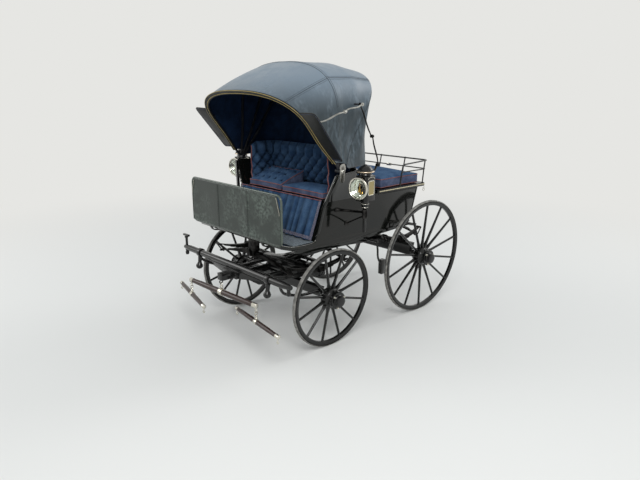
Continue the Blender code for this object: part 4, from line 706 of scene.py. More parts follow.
def make_spring(name, centre, along, half, rise, leaves, up, seat, blocks):
    """A stack of leaves, the short ones next to what they bear on, with its blocks and four bolts."""
    arch = rise - (leaves - 0.5) * LEAF
    side = along.cross(Z_AXIS)
    parts = []
    for k in range(leaves):
        reach = half * (1 - k / (leaves + 0.3))
        parts.append(spring_leaf(centre, along, reach, half, arch, (leaves - 0.5 - k) * LEAF, up))
    for end in (1, -1):
        eye = centre + along * end * half + Z_AXIS * up * rise
        parts.append(lathe([(0, 0), (0, 0.011), (0.05, 0.011), (0.0502, 0)], eye - side * 0.025, side, 20))
        parts.append(lathe([(0, 0), (0, 0.0075), (0.004, 0.0085), (0.066, 0.0085), (0.07, 0.0075),
            (0.0702, 0)], eye - side * 0.035, side, 6))
    for offset in (-0.03, 0.03):
        for across_by in (-0.026, 0.026):
            low, high = seat
            foot = Vector((centre.x, centre.y, low)) + along * offset + side * across_by
            parts.append(pipe([foot, foot + Z_AXIS * (high - low)], 0.0055, 8))
            parts.append(lathe([(0, 0), (0, 0.01), (0.009, 0.01), (0.0092, 0)],
                foot + Z_AXIS * (high - low - 0.01), Z_AXIS, 6))
    for low, high in blocks:
        parts.append(box(low, high, 0.004))
    return finish_piece(dress(join(parts), "spring"), f"{name}_leaves", "chassis", [name])


def cad_centre(node):
    """The middle and the two corners of a frame node's box."""
    low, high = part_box(node)
    return (Vector(low) + Vector(high)) / 2, Vector(low), Vector(high)


def make_springs():
    """The eight springs that carry the perch and the body: two side and two cross springs at each end."""
    leaves = SPRING_LEAVES
    for end in ("front", "rear"):
        for _, word in SIDES:
            node = f"{end}_side_spring_{word}"
            middle, low, high = cad_centre(node)
            half = (high.y - low.y) / 2 - EYE_RADIUS
            top = low.z + leaves * LEAF
            make_spring(node, Vector((middle.x, middle.y, low.z)), Y_AXIS, half, high.z - low.z - EYE_RADIUS,
                leaves, 1, (low.z - 0.004, top + 0.018),
                [((middle.x - 0.034, middle.y - 0.042, top),
                (middle.x + 0.034, middle.y + 0.042, top + 0.012))])
        for word in ("fore", "aft"):
            node = f"{end}_cross_spring_{word}"
            middle, low, high = cad_centre(node)
            half = (high.x - low.x) / 2 - CROSS_EYE
            crown = low.z + CROSS_EYE + CROSS_RISE
            under = crown - leaves * LEAF
            make_spring(node, Vector((0, middle.y, crown)), X_AXIS, half, CROSS_RISE, leaves, -1,
                (under - 0.016, crown + 0.014), [((-0.055, middle.y - 0.03, under - 0.01),
                (0.055, middle.y + 0.03, under)), ((-0.05, middle.y - 0.028, crown + 0.001),
                (0.05, middle.y + 0.028, high.z))])


def make_shackles():
    """The D links that hang each cross spring from the side springs' eyes."""
    parts = []
    for end in ("front", "rear"):
        for _, word in SIDES:
            side_low, side_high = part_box(f"{end}_side_spring_{word}")
            x = (side_low[0] + side_high[0]) / 2
            for other in ("fore", "aft"):
                low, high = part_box(f"{end}_cross_spring_{other}")
                y_eye = side_low[1] + EYE_RADIUS if other == "fore" else side_high[1] - EYE_RADIUS
                upper = Vector((x, y_eye, side_high[2] - EYE_RADIUS))
                lower = Vector((x, (low[1] + high[1]) / 2, low[2] + CROSS_EYE))
                away = (upper - lower).normalized()
                outer = X_AXIS * (1 if x > 0 else -1)
                for face in (-0.031, 0.031):
                    parts.append(pipe([upper + outer * face + away * 0.004,
                        lower + outer * face * 0.9 - away * 0.004], 0.0065, 8))
                parts.append(pipe(curve([lower - outer * 0.03, lower - away * 0.02, lower + outer * 0.03],
                    6), 0.0065, 8))
    finish_piece(dress(join(parts), "spring"), "spring_shackles", "chassis", ())


def copy_of(node):
    """A working copy of a frame node's mesh, its loose triangles joined and flat areas cleared."""
    source = bpy.data.objects[node]
    thing = bpy.data.objects.new(f"{node}_copy", source.data.copy())
    bpy.context.scene.collection.objects.link(thing)
    thing.data.transform(source.matrix_world)
    edit(thing, (bpy.ops.mesh.remove_doubles, {"threshold": 1e-5}),
        (bpy.ops.mesh.dissolve_limited, {"angle_limit": radians(2)}))
    return thing


def refined(node, name, body, finish, rounding=0.0025, segments=2, extras=()):
    """A frame node with its edges eased over, joined with the small fittings that it carries."""
    thing = dress(copy_of(node), finish)
    if rounding:
        soften(thing, rounding, segments, 40)
    return finish_piece(join([thing, *extras]) if extras else thing, name, body, [node])


# Body

def body_line(points, side, proud):
    """Points on one side of the body, this far proud of its panel."""
    return [Vector((side * (HALF_BODY + proud), y, z)) for y, z in points]


def make_body():
    """The body's panels with their mouldings, and the treads of its steps."""
    low = FLOOR_Z - FLOOR_DEPTH
    heel_y = FRONT_Y - HEEL_AHEAD
    extras = []
    for side, _ in SIDES:
        # Raised beads round each side panel, the pillar line, and the sweep of the quarter
        sill = [(FRONT_Y - 0.4, low + 0.052), (FRONT_Y - 0.131, low + 0.02), (FRONT_Y + 0.233, low + 0.015),
            (FRONT_Y + 0.748, low + 0.038), (TAIL_Y - 0.11, low + 0.062)]
        tail = [(TAIL_Y - 0.088, low + 0.15), (TAIL_Y - 0.018, SEAT_Z - 0.02)]
        front = [(heel_y - 0.004, FLOOR_Z + 0.035), (heel_y + 0.02, FLOOR_Z + 0.115),
            (FRONT_Y - 0.008, SEAT_Z - 0.012)]
        for line, size in ((sill, 0.0045), (tail, 0.004), (front, 0.004)):
            fit(extras, "enamel", pipe(curve(body_line(line, side, 0), 5), size))
        deck = [(FRONT_Y + 0.67, SEAT_Z - 0.01), (TAIL_Y - 0.02, SEAT_Z - 0.01)]
        fit(extras, "enamel", pipe(body_line(deck, side, 0.001), 0.005))
        cream = [(FRONT_Y + 0.672, DECK_Z - 0.014), (TAIL_Y + 0.09, DECK_Z - 0.014)]
        fit(extras, "cream", pipe(body_line(cream, side, 0.0118), 0.0042))
        # The strap that binds the floor's edge from the toe up to the pillar
        strap = [(FRONT_Y - 0.5, FLOOR_Z + 0.044), (FRONT_Y - 0.36, FLOOR_Z + 0.006),
            (heel_y - 0.03, FLOOR_Z + 0.006), (heel_y + 0.004, FLOOR_Z + 0.06)]
        fit(extras, "iron", bar(curve(body_line(strap, side, -0.006), 6), 0.01, 0.004, X_AXIS, 0.001))
    back = [(-HALF_BODY + 0.02, TAIL_Y + 0.1106, DECK_Z - 0.014),
        (HALF_BODY - 0.02, TAIL_Y + 0.1106, DECK_Z - 0.014)]
    fit(extras, "cream", pipe(back, 0.0042))
    refined("body_shell", "body_with_mouldings", "chassis", "enamel", 0.004, 3, extras)
    treads = []
    for side, _ in SIDES:
        x = side * (HALF_BODY + 0.031)
        y, z = TAIL_Y - 0.39, FLOOR_Z + 0.0345
        for k in range(7):
            line_y = y - 0.045 + k * 0.015
            treads.append(pipe([(x - 0.022, line_y, z), (x + 0.022, line_y, z)], 0.0018, 6))
    finish_piece(dress(join(treads), "step"), "step_treads", "chassis", ())


DASH_Y = FRONT_Y - 0.54
DASH_HALF = 0.68
DASH_LOW = 1.02
DASH_HIGH = 1.436
DASH_SEAMS = (-DASH_HALF / 3, DASH_HALF / 3)
CUT_IN = 0.045
CUT_DOWN = 0.119


def make_dash():
    """The dash: a bent tube on two stays, and the leather sewn over it."""
    parts = []
    outline = rounded((-DASH_HALF, DASH_LOW), (DASH_HALF, DASH_HIGH), 0.055, 8)
    fit(parts, "tube", pipe([(x, DASH_Y, z) for x, z in outline], 0.0095, 14, closed=True))
    for x in DASH_SEAMS:
        fit(parts, "spring", pipe([(x, DASH_Y, DASH_LOW), (x, DASH_Y, DASH_HIGH)], 0.0065, 10))
    for side, _ in SIDES:
        x = side * 0.4
        stay = [(x, DASH_Y + back, DASH_LOW + rise) for back,
            rise in ((0, 0.03), (0.004, -0.006), (0.028, -0.05), (0.07, -0.062), (0.15, -0.0765))]
        fit(parts, "running", bar(curve(stay, 4), 0.035, 0.009, X_AXIS, 0.002))
        for rise in (0.022, 0.004):
            fit(parts, "running", lathe([(0, 0), (0, 0.008), (0.004, 0.0075), (0.006, 0.004), (0.0062, 0)],
                (x, DASH_Y + 0.006, DASH_LOW + rise), Y_AXIS, 12))
    finish_piece(join(parts), "dash_tube_frame", "chassis", ["dash_frame"])

    # The leather: three bays, each a little slack between its seams, with its two top corners cut off
    inner, bottom, top = DASH_HALF - 0.006, DASH_LOW + 0.008, DASH_HIGH - 0.008
    front = DASH_Y - 0.0094
    columns, levels = 96, 30
    rows = []
    for j in range(levels + 1):
        v = j / levels
        z = bottom + (top - bottom) * v
        reach = inner - CUT_IN * max(0, (z - (top - CUT_DOWN)) / CUT_DOWN)
        row = []
        for i in range(columns + 1):
            x = (2 * i / columns - 1) * reach
            bay = (x / (DASH_HALF * 2 / 3) + 0.5) % 1.0
            slack = sin(pi * bay) * sin(pi * v)
            ripple = noise.noise(Vector((x * 5, z * 7, 3.0)))
            row.append((x, front + 0.0035 * slack + 0.0016 * ripple * sin(pi * v), z))
        rows.append(row)
    parts = []
    fit(parts, "dash", thicken(net(rows), 0.004, 0))
    edge = [(-inner, bottom), (inner, bottom), (inner, top - CUT_DOWN), (inner - CUT_IN, top),
        (-inner + CUT_IN, top), (-inner, top - CUT_DOWN)]
    welt = []
    for k, (x, z) in enumerate(edge):
        nx, nz = edge[(k + 1) % len(edge)]
        welt += [(x + (nx - x) * t, front - 0.001, z + (nz - z) * t) for t in (0.02, 0.5, 0.98)]
    fit(parts, "dash", pipe(welt, 0.0042, 8, closed=True))
    for x in DASH_SEAMS:
        fit(parts, "dash", bar([(x, front - 0.0015, bottom + 0.002), (x, front - 0.0015, top - 0.002)], 0.02,
            0.0035, X_AXIS, 0.0012))
        for thread in (x - 0.0072, x + 0.0072):
            fit(parts, "wing", pipe([(thread, front - 0.0034, bottom + 0.004),
                (thread, front - 0.0034, top - 0.004)], 0.0008, 5))
    # Bright lines along the cut corners
    for side, _ in SIDES:
        bright = [(side * (inner - in_by), front - 0.0052, top - down) for in_by,
            down in ((0.003, CUT_DOWN + 0.03), (0.006, CUT_DOWN + 0.006), (0.044, 0.01))]
        fit(parts, "nickel", pipe(bright, 0.0028, 6))
    finish_piece(join(parts), "dash_leather_panel", "chassis", ["dash_leather"])


# Front seat

SEAT_BACK_Y = FRONT_Y + 0.4


def seat_path(half_front, half_back, front, back, arms=4, corner=3, radius=0.09):
    """A U in plan from the left arm's front round the back to the right arm's front."""
    path = [(half_front + (half_back - half_front) * i / arms, front + (back - radius - front) * i / arms)
        for i in range(arms)]
    for i in range(corner + 1):
        angle = pi / 2 * i / corner
        path.append((half_back - radius + radius * cos(angle), back - radius + radius * sin(angle)))
    return path + [(-x, y) for x, y in reversed(path)]


def make_seat_frame():
    """The seat's panels, with the rolled rail along their top."""
    rail = seat_path(ARM_SPREAD - 0.009, HALF_BODY + 0.026, FRONT_Y + 0.02, SEAT_BACK_Y + 0.003, 4, 8)
    roll = dress(pipe([(x, y, ARM_Z + 0.001) for x, y in rail], 0.0115, 10), "enamel")
    refined("seat_frame", "seat_frame_with_rolled_top", "chassis", "enamel",
        0.003, 2, [roll])


SQUAB_TUFTS = 14
SQUAB_ROWS = (0.72, 0.54, 0.36, 0.18)
SQUAB_SHIFTS = (0.5, 0, 0.5, 0)
SQUAB_FOOT = 0.075


def quilting(turn, v):
    """How full the stuffing stands: diamonds up to the top row of buttons, channels above it."""
    quilt = 1.5 + (min(v, SQUAB_ROWS[0]) - SQUAB_ROWS[0]) * 0.5 / (SQUAB_ROWS[0] - SQUAB_ROWS[1])
    return abs(sin(pi * (turn + quilt)) * sin(pi * (turn - quilt))) + 1e-9


def squab_fold_shade(turn, v):
    """How much painted shade the squab's cloth gets: deepest at the buttons, and shallow again along the
    folds between them.
    """
    fold = 0.55 * max(0, 1 - quilting(turn, v) / 0.16)
    for row, shift in zip(SQUAB_ROWS, SQUAB_SHIFTS):
        beside = (turn - shift) - round(turn - shift)
        above = (v - row) / (0.05 if v < row else 0.09)
        fold = max(fold, 1.15 - hypot(beside / 0.2, above))
    return min(max(fold, 0), 0.95)


def along_path(path, lengths, s):
    """The point at distance s along a path, and the path's direction there."""
    k = max(i for i in range(len(lengths) - 1) if lengths[i] <= s + 1e-9 or i == 0)
    t = (s - lengths[k]) / (lengths[k + 1] - lengths[k])
    return path[k].lerp(path[k + 1], t), (path[k + 1] - path[k]).normalized()


def squab_point(path, lengths, s, v, pitch, extra=0.0):
    """A point of the squab at distance s round the U and height v (0 at the seat, 1 at the top)."""
    total = lengths[-1]
    base = SEAT_Z + SQUAB_FOOT
    s = min(max(s, 0), total)
    foot, way = along_path(path, lengths, s)
    inward = Vector((-way.y, way.x, 0))
    ends = min(1.0, max(0, min(s, total - s)) / 0.09)
    top = base + (SQUAB_TOP - base) * (1 - 0.09 * (1 - ends) ** 2)
    puff = quilting(s / pitch, v) ** 0.62
    edge = min(1.0, (8 * v + 0.25), (9 * (1 - v) + 0.15), ends * 1.4 + 0.2)
    depth = max((0.018 + 0.052 * puff) * edge ** 0.7, 0.006) + extra
    return foot + Z_AXIS * (base + (top - base) * v) + inward * depth, inward


def make_squab():
    """Deep-buttoned cloth over hair: a lattice of diamonds, each pulled down at its four corners."""
    flat = [Vector((x, y, 0)) for x, y in seat_path(0.583, 0.583, FRONT_Y + 0.075,
        SEAT_BACK_Y - 0.022, 5, 10)]
    lengths = [0.0]
    for a, b in zip(flat, flat[1:]):
        lengths.append(lengths[-1] + (b - a).length)
    total = lengths[-1]
    pitch = total / SQUAB_TUFTS
    columns, rows_count = SQUAB_TUFTS * 28, 60
    front = [[squab_point(flat, lengths, total * i / columns, j / rows_count, pitch)[0]
        for i in range(columns + 1)] for j in range(rows_count + 1)]
    stuffing = net(front)
    # Painted shade: the cloth darkens at the buttons and along the folds between them
    mark_fold_shade(stuffing, [squab_fold_shade(total * i / columns / pitch, j / rows_count)
        for j in range(rows_count + 1) for i in range(columns + 1)])
    thicken(stuffing, 0.01, 0)
    dress(stuffing, "cloth")
    # A plain back, which closes the squab behind its buttoned face
    backing = []
    for v in (0, 1.0):
        row = []
        for i in range(columns // 4 + 1):
            s = total * i * 4 / columns
            point, inward = squab_point(flat, lengths, s, v, pitch)
            depth = (point - along_path(flat, lengths, s)[0]).dot(inward)
            row.append(point - inward * (depth - 0.001))
        backing.append(row)
    back = dress(thicken(net(backing), 0.002, 0), "lining")
    squab = finish_piece(join([stuffing, back]), "squab_buttoned_cloth", "chassis", ["squab"],
        60)

    buttons = []
    # The buttons are real, and their dark lining colour is painted shade for the hollows that they pull down
    button = dress(lathe([(0, 0), (0, 0.0085), (0.002, 0.0095), (0.005, 0.0075), (0.0065, 0.003),
        (0.0066, 0)], (0, 0, 0), Z_AXIS, 10), "lining")
    for v, shift in zip(SQUAB_ROWS, SQUAB_SHIFTS):
        for n in range(SQUAB_TUFTS + (1 if shift == 0 else 0)):
            s = (n + shift) * pitch
            if s < 0.5 * pitch or s > total - 0.5 * pitch:
                continue
            point, inward = squab_point(flat, lengths, s, v, pitch)
            spin = Z_AXIS.rotation_difference(inward).to_matrix().to_4x4()
            buttons.append(placed_copy(button, Matrix.Translation(point - inward * 0.001) @ spin))
    bpy.data.objects.remove(button, do_unlink=True)
    finish_piece(join(buttons), "squab_buttons", "chassis", ())

    top = [squab_point(flat, lengths, total * i / 170, 1.0, pitch)[0] + Z_AXIS * 0.003 for i in range(171)]
    trim = [dress(pipe(top, 0.0042, 8), "lining")]
    for end in (0, total):
        line = [squab_point(flat, lengths, end, v / 12, pitch, 0.003)[0] for v in range(13)]
        fit(trim, "piping", pipe(line, 0.0056, 8))
    finish_piece(join(trim), "squab_piping", "chassis", ())





# Cushions

def lattice(columns, rows):
    """Tuft places in staggered rows."""
    places = []
    for j in range(rows):
        count = columns if j % 2 == 0 else columns - 1
        for i in range(count):
            places.append(((i + (0.7 if j % 2 == 0 else 1.2)) / (columns + 0.4), (j + 0.8) / (rows + 0.6)))
    return places


def swell(thing, voxel, pressure, cap):
    """Inflates a closed form as cloth, keeping every point within cap of where it started."""
    edit(thing, (bpy.ops.mesh.normals_make_consistent, {"inside": False}))
    remesh = thing.modifiers.new("Remesh", "REMESH")
    remesh.mode = "VOXEL"
    remesh.voxel_size = voxel
    settle(thing)
    before = [v.co.copy() for v in thing.data.vertices]
    cloth = thing.modifiers.new("Cloth", "CLOTH")
    cloth.settings.use_pressure = True
    cloth.settings.uniform_pressure_force = pressure
    cloth.settings.quality = 4
    cloth.settings.effector_weights.gravity = 0.0
    cloth.point_cache.frame_start = 1
    cloth.point_cache.frame_end = 20
    for number in range(1, 21):
        bpy.context.scene.frame_set(number)
    settle(thing)
    bpy.context.scene.frame_set(1)
    for vertex, start_at in zip(thing.data.vertices, before):
        moved = vertex.co - start_at
        if moved.length > cap:
            vertex.co = start_at + moved.normalized() * cap
    return thing


def make_cushion(name, node, low, high, base, front_edge, rear_edge, crown, tufts):
    """A stuffed cushion: crowned top, bordered sides drawn in between the corners, piping, sewn tufts."""
    x0, y0 = low
    x1, y1 = high
    shrink = 0.004
    columns, rows_count = 36, 24

    def top_at(u, v):
        bulge = (1 - abs(2 * u - 1) ** 3) * (1 - abs(2 * v - 1) ** 3)
        return front_edge + (rear_edge - front_edge) * v + crown * bulge

    def plan(u, v, inset=0.0):
        x = x0 + inset + (x1 - x0 - 2 * inset) * u + 0.01 * sin(pi * v) * (1 - 2 * u)
        y = y0 + inset + (y1 - y0 - 2 * inset) * v + 0.01 * sin(pi * u) * (1 - 2 * v)
        return x, y

    levels = []
    rim = [(i / columns, 0) for i in range(columns)] + [(1.0, j / rows_count) for j in range(rows_count)]
    rim += [(1 - i / columns, 1.0) for i in range(columns)] + [(0, 1 - j / rows_count)
        for j in range(rows_count)]
    for inset, share in ((shrink + 0.004, 0), (shrink, 0.08), (shrink, 0.92), (shrink + 0.004, 1.0)):
        ring = []
        for u, v in rim:
            x, y = plan(u, v, inset)
            ring.append((x, y, base + 0.002 + (top_at(u, v) - base - 0.002) * share))
        levels.append(ring)
    for share in (0.8, 0.6, 0.4, 0.2, 0.05):
        ring = []
        for u, v in rim:
            cu, cv = 0.5 + (u - 0.5) * share, 0.5 + (v - 0.5) * share
            x, y = plan(cu, cv, shrink)
            ring.append((x, y, top_at(cu, cv) - 0.002))
        levels.append(ring)
    form = net(levels, ring=True)
    swell(form, voxel=0.0065, pressure=3.0, cap=0.007)
    for vertex in form.data.vertices:
        vertex.co.z = max(vertex.co.z, base + 0.0005)
        u = (vertex.co.x - x0) / (x1 - x0)
        v = (vertex.co.y - y0) / (y1 - y0)
        edge_z = front_edge + (rear_edge - front_edge) * min(max(v, 0), 1.0)
        if vertex.co.z > edge_z - 0.02:
            drop = 0.0
            # Each tuft draws the top down, and a shallow fold runs from it to each of its neighbours
            for tu, tv in tufts:
                away = hypot((u - tu) * (x1 - x0), (v - tv) * (y1 - y0))
                drop = max(drop, 0.024 * exp(-(away / 0.026) ** 1.3))
            for k, (tu, tv) in enumerate(tufts):
                for su, sv in tufts[k + 1 :]:
                    ax, ay = (tu - u) * (x1 - x0), (tv - v) * (y1 - y0)
                    bx, by = (su - tu) * (x1 - x0), (sv - tv) * (y1 - y0)
                    span = hypot(bx, by)
                    if span > 0.16 or abs(by) < 0.01:
                        continue
                    t = min(max(-(ax * bx + ay * by) / (span * span), 0), 1.0)
                    away = hypot(ax + bx * t, ay + by * t)
                    drop = max(drop, 0.009 * exp(-(away / 0.01) ** 1.6))
            vertex.co.z -= drop
    subdivide(form)
    # Painted shade round each tuft, on the top of the cushion only
    centres = [(tu * (x1 - x0), tv * (y1 - y0)) for tu, tv in tufts]
    depths = []
    for x, y, z in (p.co for p in form.data.vertices):
        near = max([0.0, *(1.0 - hypot((x - x0) - cx, (y - y0) - cy) / 0.02 for cx, cy in centres)])
        depths.append(near * 0.9 if z > front_edge - 0.01 else 0.0)
    mark_fold_shade(form, depths)
    dress(form, "cloth").data.materials.append(FINISHES["border"])
    for face in form.data.polygons:
        v = min(max((face.center.y - y0) / (y1 - y0), 0), 1.0)
        edge_z = front_edge + (rear_edge - front_edge) * v
        if face.center.z < edge_z - 0.004:
            face.material_index = 1
    buttons = []
    for tu, tv in tufts:
        x, y = plan(tu, tv)
        hit = form.ray_cast(Vector((x, y, 3.0)), Vector((0, 0, -1)))
        z = hit[1].z if hit[0] else top_at(tu, tv) - 0.02
        fit(buttons, "lining", lathe([(0, 0), (0, 0.009), (0.003, 0.0095), (0.006, 0.006), (0.007, 0)],
            (x, y, z - 0.002), Z_AXIS, 10))
    cushion = finish_piece(join([form, *buttons]), name, "chassis", [node], 60)

    trim = []
    for level, lift in ((1.0, -0.003), (0, 0.006)):
        path = []
        for u, v in rim[::2]:
            x, y = plan(u, v, 0.001)
            z = base + (top_at(u, v) - base) * level + lift
            near = cushion.closest_point_on_mesh(Vector((x, y, z)))
            path.append(near[1] + near[2] * 0.0015 if near[0] else Vector((x, y, z)))
        fit(trim, "piping", pipe(path, 0.0038, 8, closed=True))
    finish_piece(join(trim), f"{name}_piping", "chassis", ())
    return cushion


def make_cushions():
    """The passenger's flat cushion, the driver's wedge, and the long cushion of the rear seat."""
    base = SEAT_Z + 0.018
    back = FRONT_Y + 0.3
    make_cushion("passenger_seat_cushion", "passenger_cushion", (0.004, FRONT_Y - 0.008), (0.578, back), base,
        base + 0.055, base + 0.055, 0.028, [])
    make_cushion("driver_wedge_cushion", "driver_cushion", (-0.512, FRONT_Y - 0.004), (-0.004, back), base,
        base + 0.06, base + 0.17, 0.034, lattice(5, 3))
    make_cushion("rear_seat_cushion", "rear_cushion", (-0.6, TAIL_Y - 0.535), (0.6, TAIL_Y + 0.035),
        DECK_Z + 0.0004, DECK_Z + 0.092, DECK_Z + 0.092, 0.046, [])


PLEATS = 13


def make_fall():
    """The cloth that hangs from the seat's front edge in soft pleats, its hem and sides bound with lace."""
    top = Vector((0, FRONT_Y - 0.014, SEAT_Z + 0.0165))
    bottom = Vector((0, FRONT_Y - HEEL_AHEAD - 0.03, FLOOR_Z + 0.014))
    drop = bottom - top
    out = X_AXIS.cross(drop).normalized()
    if out.y > 0:
        out = -out
    columns, rows_count = 300, 30
    half = HALF_BODY - 0.035

    def place(u, v, lift=0.0):
        turn = 2 * pi * u * PLEATS + 1.3 * sin(u * 17.0) + 0.7 * sin(u * 41.0) + v * 0.5 * sin(u * 23.0)
        wave = 0.0155 * (0.45 + 0.55 * v) * sin(turn)
        wave += 0.005 * v * noise.noise(Vector((u * 22, v * 3, 1.0)))
        return top + drop * v + X_AXIS * (2 * u - 1) * half + out * (wave + 0.0145 + lift)

    flat = (top - top.project(drop)) + out * 0.0145

    # Painted shade in the valleys of the pleats, growing deeper towards the hem
    def pleat_shade(u, v):
        at = place(u, v)
        return min(max(0.28 - (at - at.project(drop) - flat).dot(out) / 0.026, 0), 0.85) * (0.5 + 0.5 * v)

    rows = [[place(i / columns, j / rows_count) for i in range(columns + 1)] for j in range(rows_count + 1)]
    depths = [pleat_shade(i / columns, j / rows_count) for j in range(rows_count + 1) for i in range(columns + 1)]
    panel = net(rows)
    mark_fold_shade(panel, depths)
    dress(thicken(panel, 0.002, 0), "cloth")
    fall = finish_piece(panel, "pleated_seat_fall", "chassis", ["seat_fall"], 60)
    laces = []
    hem = [[place(i / columns, v, 0.0024) for i in range(columns + 1)] for v in (0.905, 0.93, 0.96, 0.985)]
    laces.append(thicken(net(hem), 0.0012, 0))
    for side in (0.978, 0):
        edge = [[place(side + 0.022 * i / 8, j / rows_count, 0.0026) for i in range(9)]
            for j in range(rows_count + 1)]
        laces.append(thicken(net(edge), 0.0012, 0))
    lace_piece = finish_piece(dress(join(laces), "lace"), "fall_lace_binding", "chassis", (),
        60)
    cord = [place(i / 120, 0.02, 0.006) for i in range(121)]
    piping = dress(pipe(cord, 0.004, 8), "piping")
    finish_piece(piping, "fall_top_piping", "chassis", ())


# Hood

def flare(radius):
    """How far the hood's sides spread out towards the pivot heads."""
    t = max(0, 1 - radius / 0.35)
    return (HEAD_HALF - HOOD_HALF) * t * t * (3 - 2 * t)


def in_bow(lean, x, radius, back=0.0):
    """A point in the plane of a bow: x across, radius out from the pivot, back square to the plane."""
    angle = radians(lean)
    return PIVOT + Vector((x, sin(angle) * radius + cos(angle) * back,
        cos(angle) * radius - sin(angle) * back))


def hood_line(index, m, grow):
    """The leather over one bow, across and out: m runs from 0 at the foot to 11 at the crown's middle."""
    _, legs, crown = BOWS[index]
    half = HOOD_HALF + 0.0065 + 0.006 - 0.006 * index
    foot = 0.1 if index == 0 else 0.072
    if m <= LEG_STEPS:
        radius = foot + (legs - foot) * m / LEG_STEPS
        return half + grow + flare(radius) + 0.006 * index * max(0, 1 - m), radius
    angle = pi / 2 * (m - LEG_STEPS) / CROWN_STEPS
    power = 2 / CROWN_POWER
    return ((half + grow) * max(cos(angle), 0) ** power, legs + (crown + 0.0125 + grow) * sin(angle) ** power)


def hood_over_bow(index, m, side, grow):
    """A point of the leather over one bow."""
    last = index == len(BOWS) - 1
    x, radius = hood_line(index, m, grow)
    return in_bow(BOWS[index][0], side * x, radius + (0.006 if last else 0.0), 0.016 if last else 0.0)


def hood_hem(m, side, grow):
    """A point of the hem, where the back curtain meets the seat."""
    back = FRONT_Y + 0.435 + grow
    half = HOOD_HALF - 0.01 + grow
    start_y = PIVOT.y + 0.075
    if m <= 8:
        t = m / 8
        x, y = (half + 0.062) * (1 - t) + half * t, start_y + (back - 0.02 - start_y) * t
    else:
        t = (m - 8) / 3
        x, y = half * (1 - t) * (1 - 0.25 * t), back - 0.02 + 0.02 * sin(pi / 2 * min(1.0, 2 * t))
    return Vector((side * x, y, PIVOT.z + 0.022))


def hood_point(station, m, side, grow):
    """A point of the leather: station 0 to 3 runs over the bows, 3 to 4 down the back curtain to its hem."""
    span = min(int(station), 3)
    t = station - span
    a = hood_over_bow(span, m, side, grow)
    b = hood_over_bow(span + 1, m, side, grow) if span < 3 else hood_hem(m, side, grow)
    point = a.lerp(b, t)
    # The quarters hang a little slack, the crown is drawn tight and stands out between the first two bows
    crowned = min(max((m - LEG_STEPS) / 3, 0), 1.0)
    slack = (SIDE_SLACK[span] * (1 - crowned) + CROWN_SLACK[span] * crowned) * sin(pi * t)
    heart = Vector((0, PIVOT.y + 0.02, PIVOT.z + 0.4))
    inward = Vector((-side, 0, 0)).lerp((heart - point).normalized(), crowned).normalized()
    high = min(1.0, m / 5)
    wave = noise.noise(Vector((point.y * 5.5, point.z * 3.5, side * 3.0)))
    fold = noise.noise(Vector((atan2(point.y - PIVOT.y, point.z - PIVOT.z) * 11,
        (point - PIVOT).length * 1.4, side * 7.0)))
    return point + inward * (slack + 0.0022 * wave + 0.0035 * fold * (1 - 0.6 * high) * sin(pi * t))


HOOD_MS = ([LEG_STEPS * k / 14 for k in range(14)] + [LEG_STEPS + CROWN_STEPS * (k / 26) for k in range(27)])
HOOD_STATIONS = ([k / 14 for k in range(14)] + [1 + k / 8 for k in range(8)] + [2 + k / 6
    for k in range(6)] + [3 + k / 16 for k in range(17)])


def both_sides(point, ms):
    """A line from the left side over the crown to the right: point takes m and the side."""
    return [point(m, 1) for m in ms] + [point(m, -1) for m in ms[:-1][::-1]]


def hood_rows(grow, stations=HOOD_STATIONS, ms=HOOD_MS):
    """The hood's surface as rows of points, each from the left foot over the crown to the right."""
    rows = []
    for station in stations:
        half = [hood_point(station, m, 1, grow) for m in ms]
        other = [hood_point(station, m, -1, grow) for m in ms]
        middle = (half[-1] + other[-1]) / 2
        middle.x = 0.0
        rows.append(half[:-1] + [middle] + other[:-1][::-1])
    return rows


def follow_bows(thing):
    """Bakes a hood sheet's place into its mesh; the sheet is not made to turn with the bows."""
    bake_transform(thing)


def make_hood():
    """The hides and quarters sewn into one top and stretched over four bows, with a cloth lining under it."""
    rows = hood_rows(0.002)
    parts = []
    fit(parts, "hood", thicken(net(rows), 0.0028, 0))
    seams = []
    # The seam between crown and quarter runs back over the shoulder of each bow, doubled by its stitching
    for side in (1, -1):
        for m, size in ((7.0, 0.002), (7.16, 0.0009), (6.84, 0.0009)):
            seams.append(pipe([hood_point(k / 12, m, side, 0.004) for k in range(37)], size, 6))
    # The seam across the crown, ahead of the second bow
    for station, size in ((0.97 + 0.0, 0.0018), (0.97 + 0.05, 0.0009)):
        seams.append(pipe(both_sides(lambda m, side: hood_point(station, m, side, 0.004),
            HOOD_MS[16:]), size, 6))
    for side in (1, -1):
        seams.append(pipe([hood_point(3.02, m, side, 0.0045) for m in HOOD_MS], 0.0024, 6))
    seams.append(pipe(both_sides(lambda m, side: hood_point(4.0, m, side, 0.003), HOOD_MS), 0.0045, 8))
    fit(parts, "seam", *seams)
    hood = finish_piece(join(parts), "hood_leather_top", None, (), 60)
    follow_bows(hood)
    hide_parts("hood_leather")

    inner = hood_rows(-0.0085, HOOD_STATIONS[::2] + [4.0], HOOD_MS[::2])
    lining = dress(thicken(net(inner), 0.0016, 0), "lining")
    finish_piece(lining, "hood_cloth_lining", None, (), 60)
    follow_bows(lining)


def bow_front(m, side, out, back):
    """A point of the hood's front edge, out from the front bow and back from its plane."""
    _, radius = hood_line(0, m, 0)
    x, raised = hood_line(0, m, out)
    return in_bow(BOWS[0][0], side * x, raised if m > LEG_STEPS else radius, back)


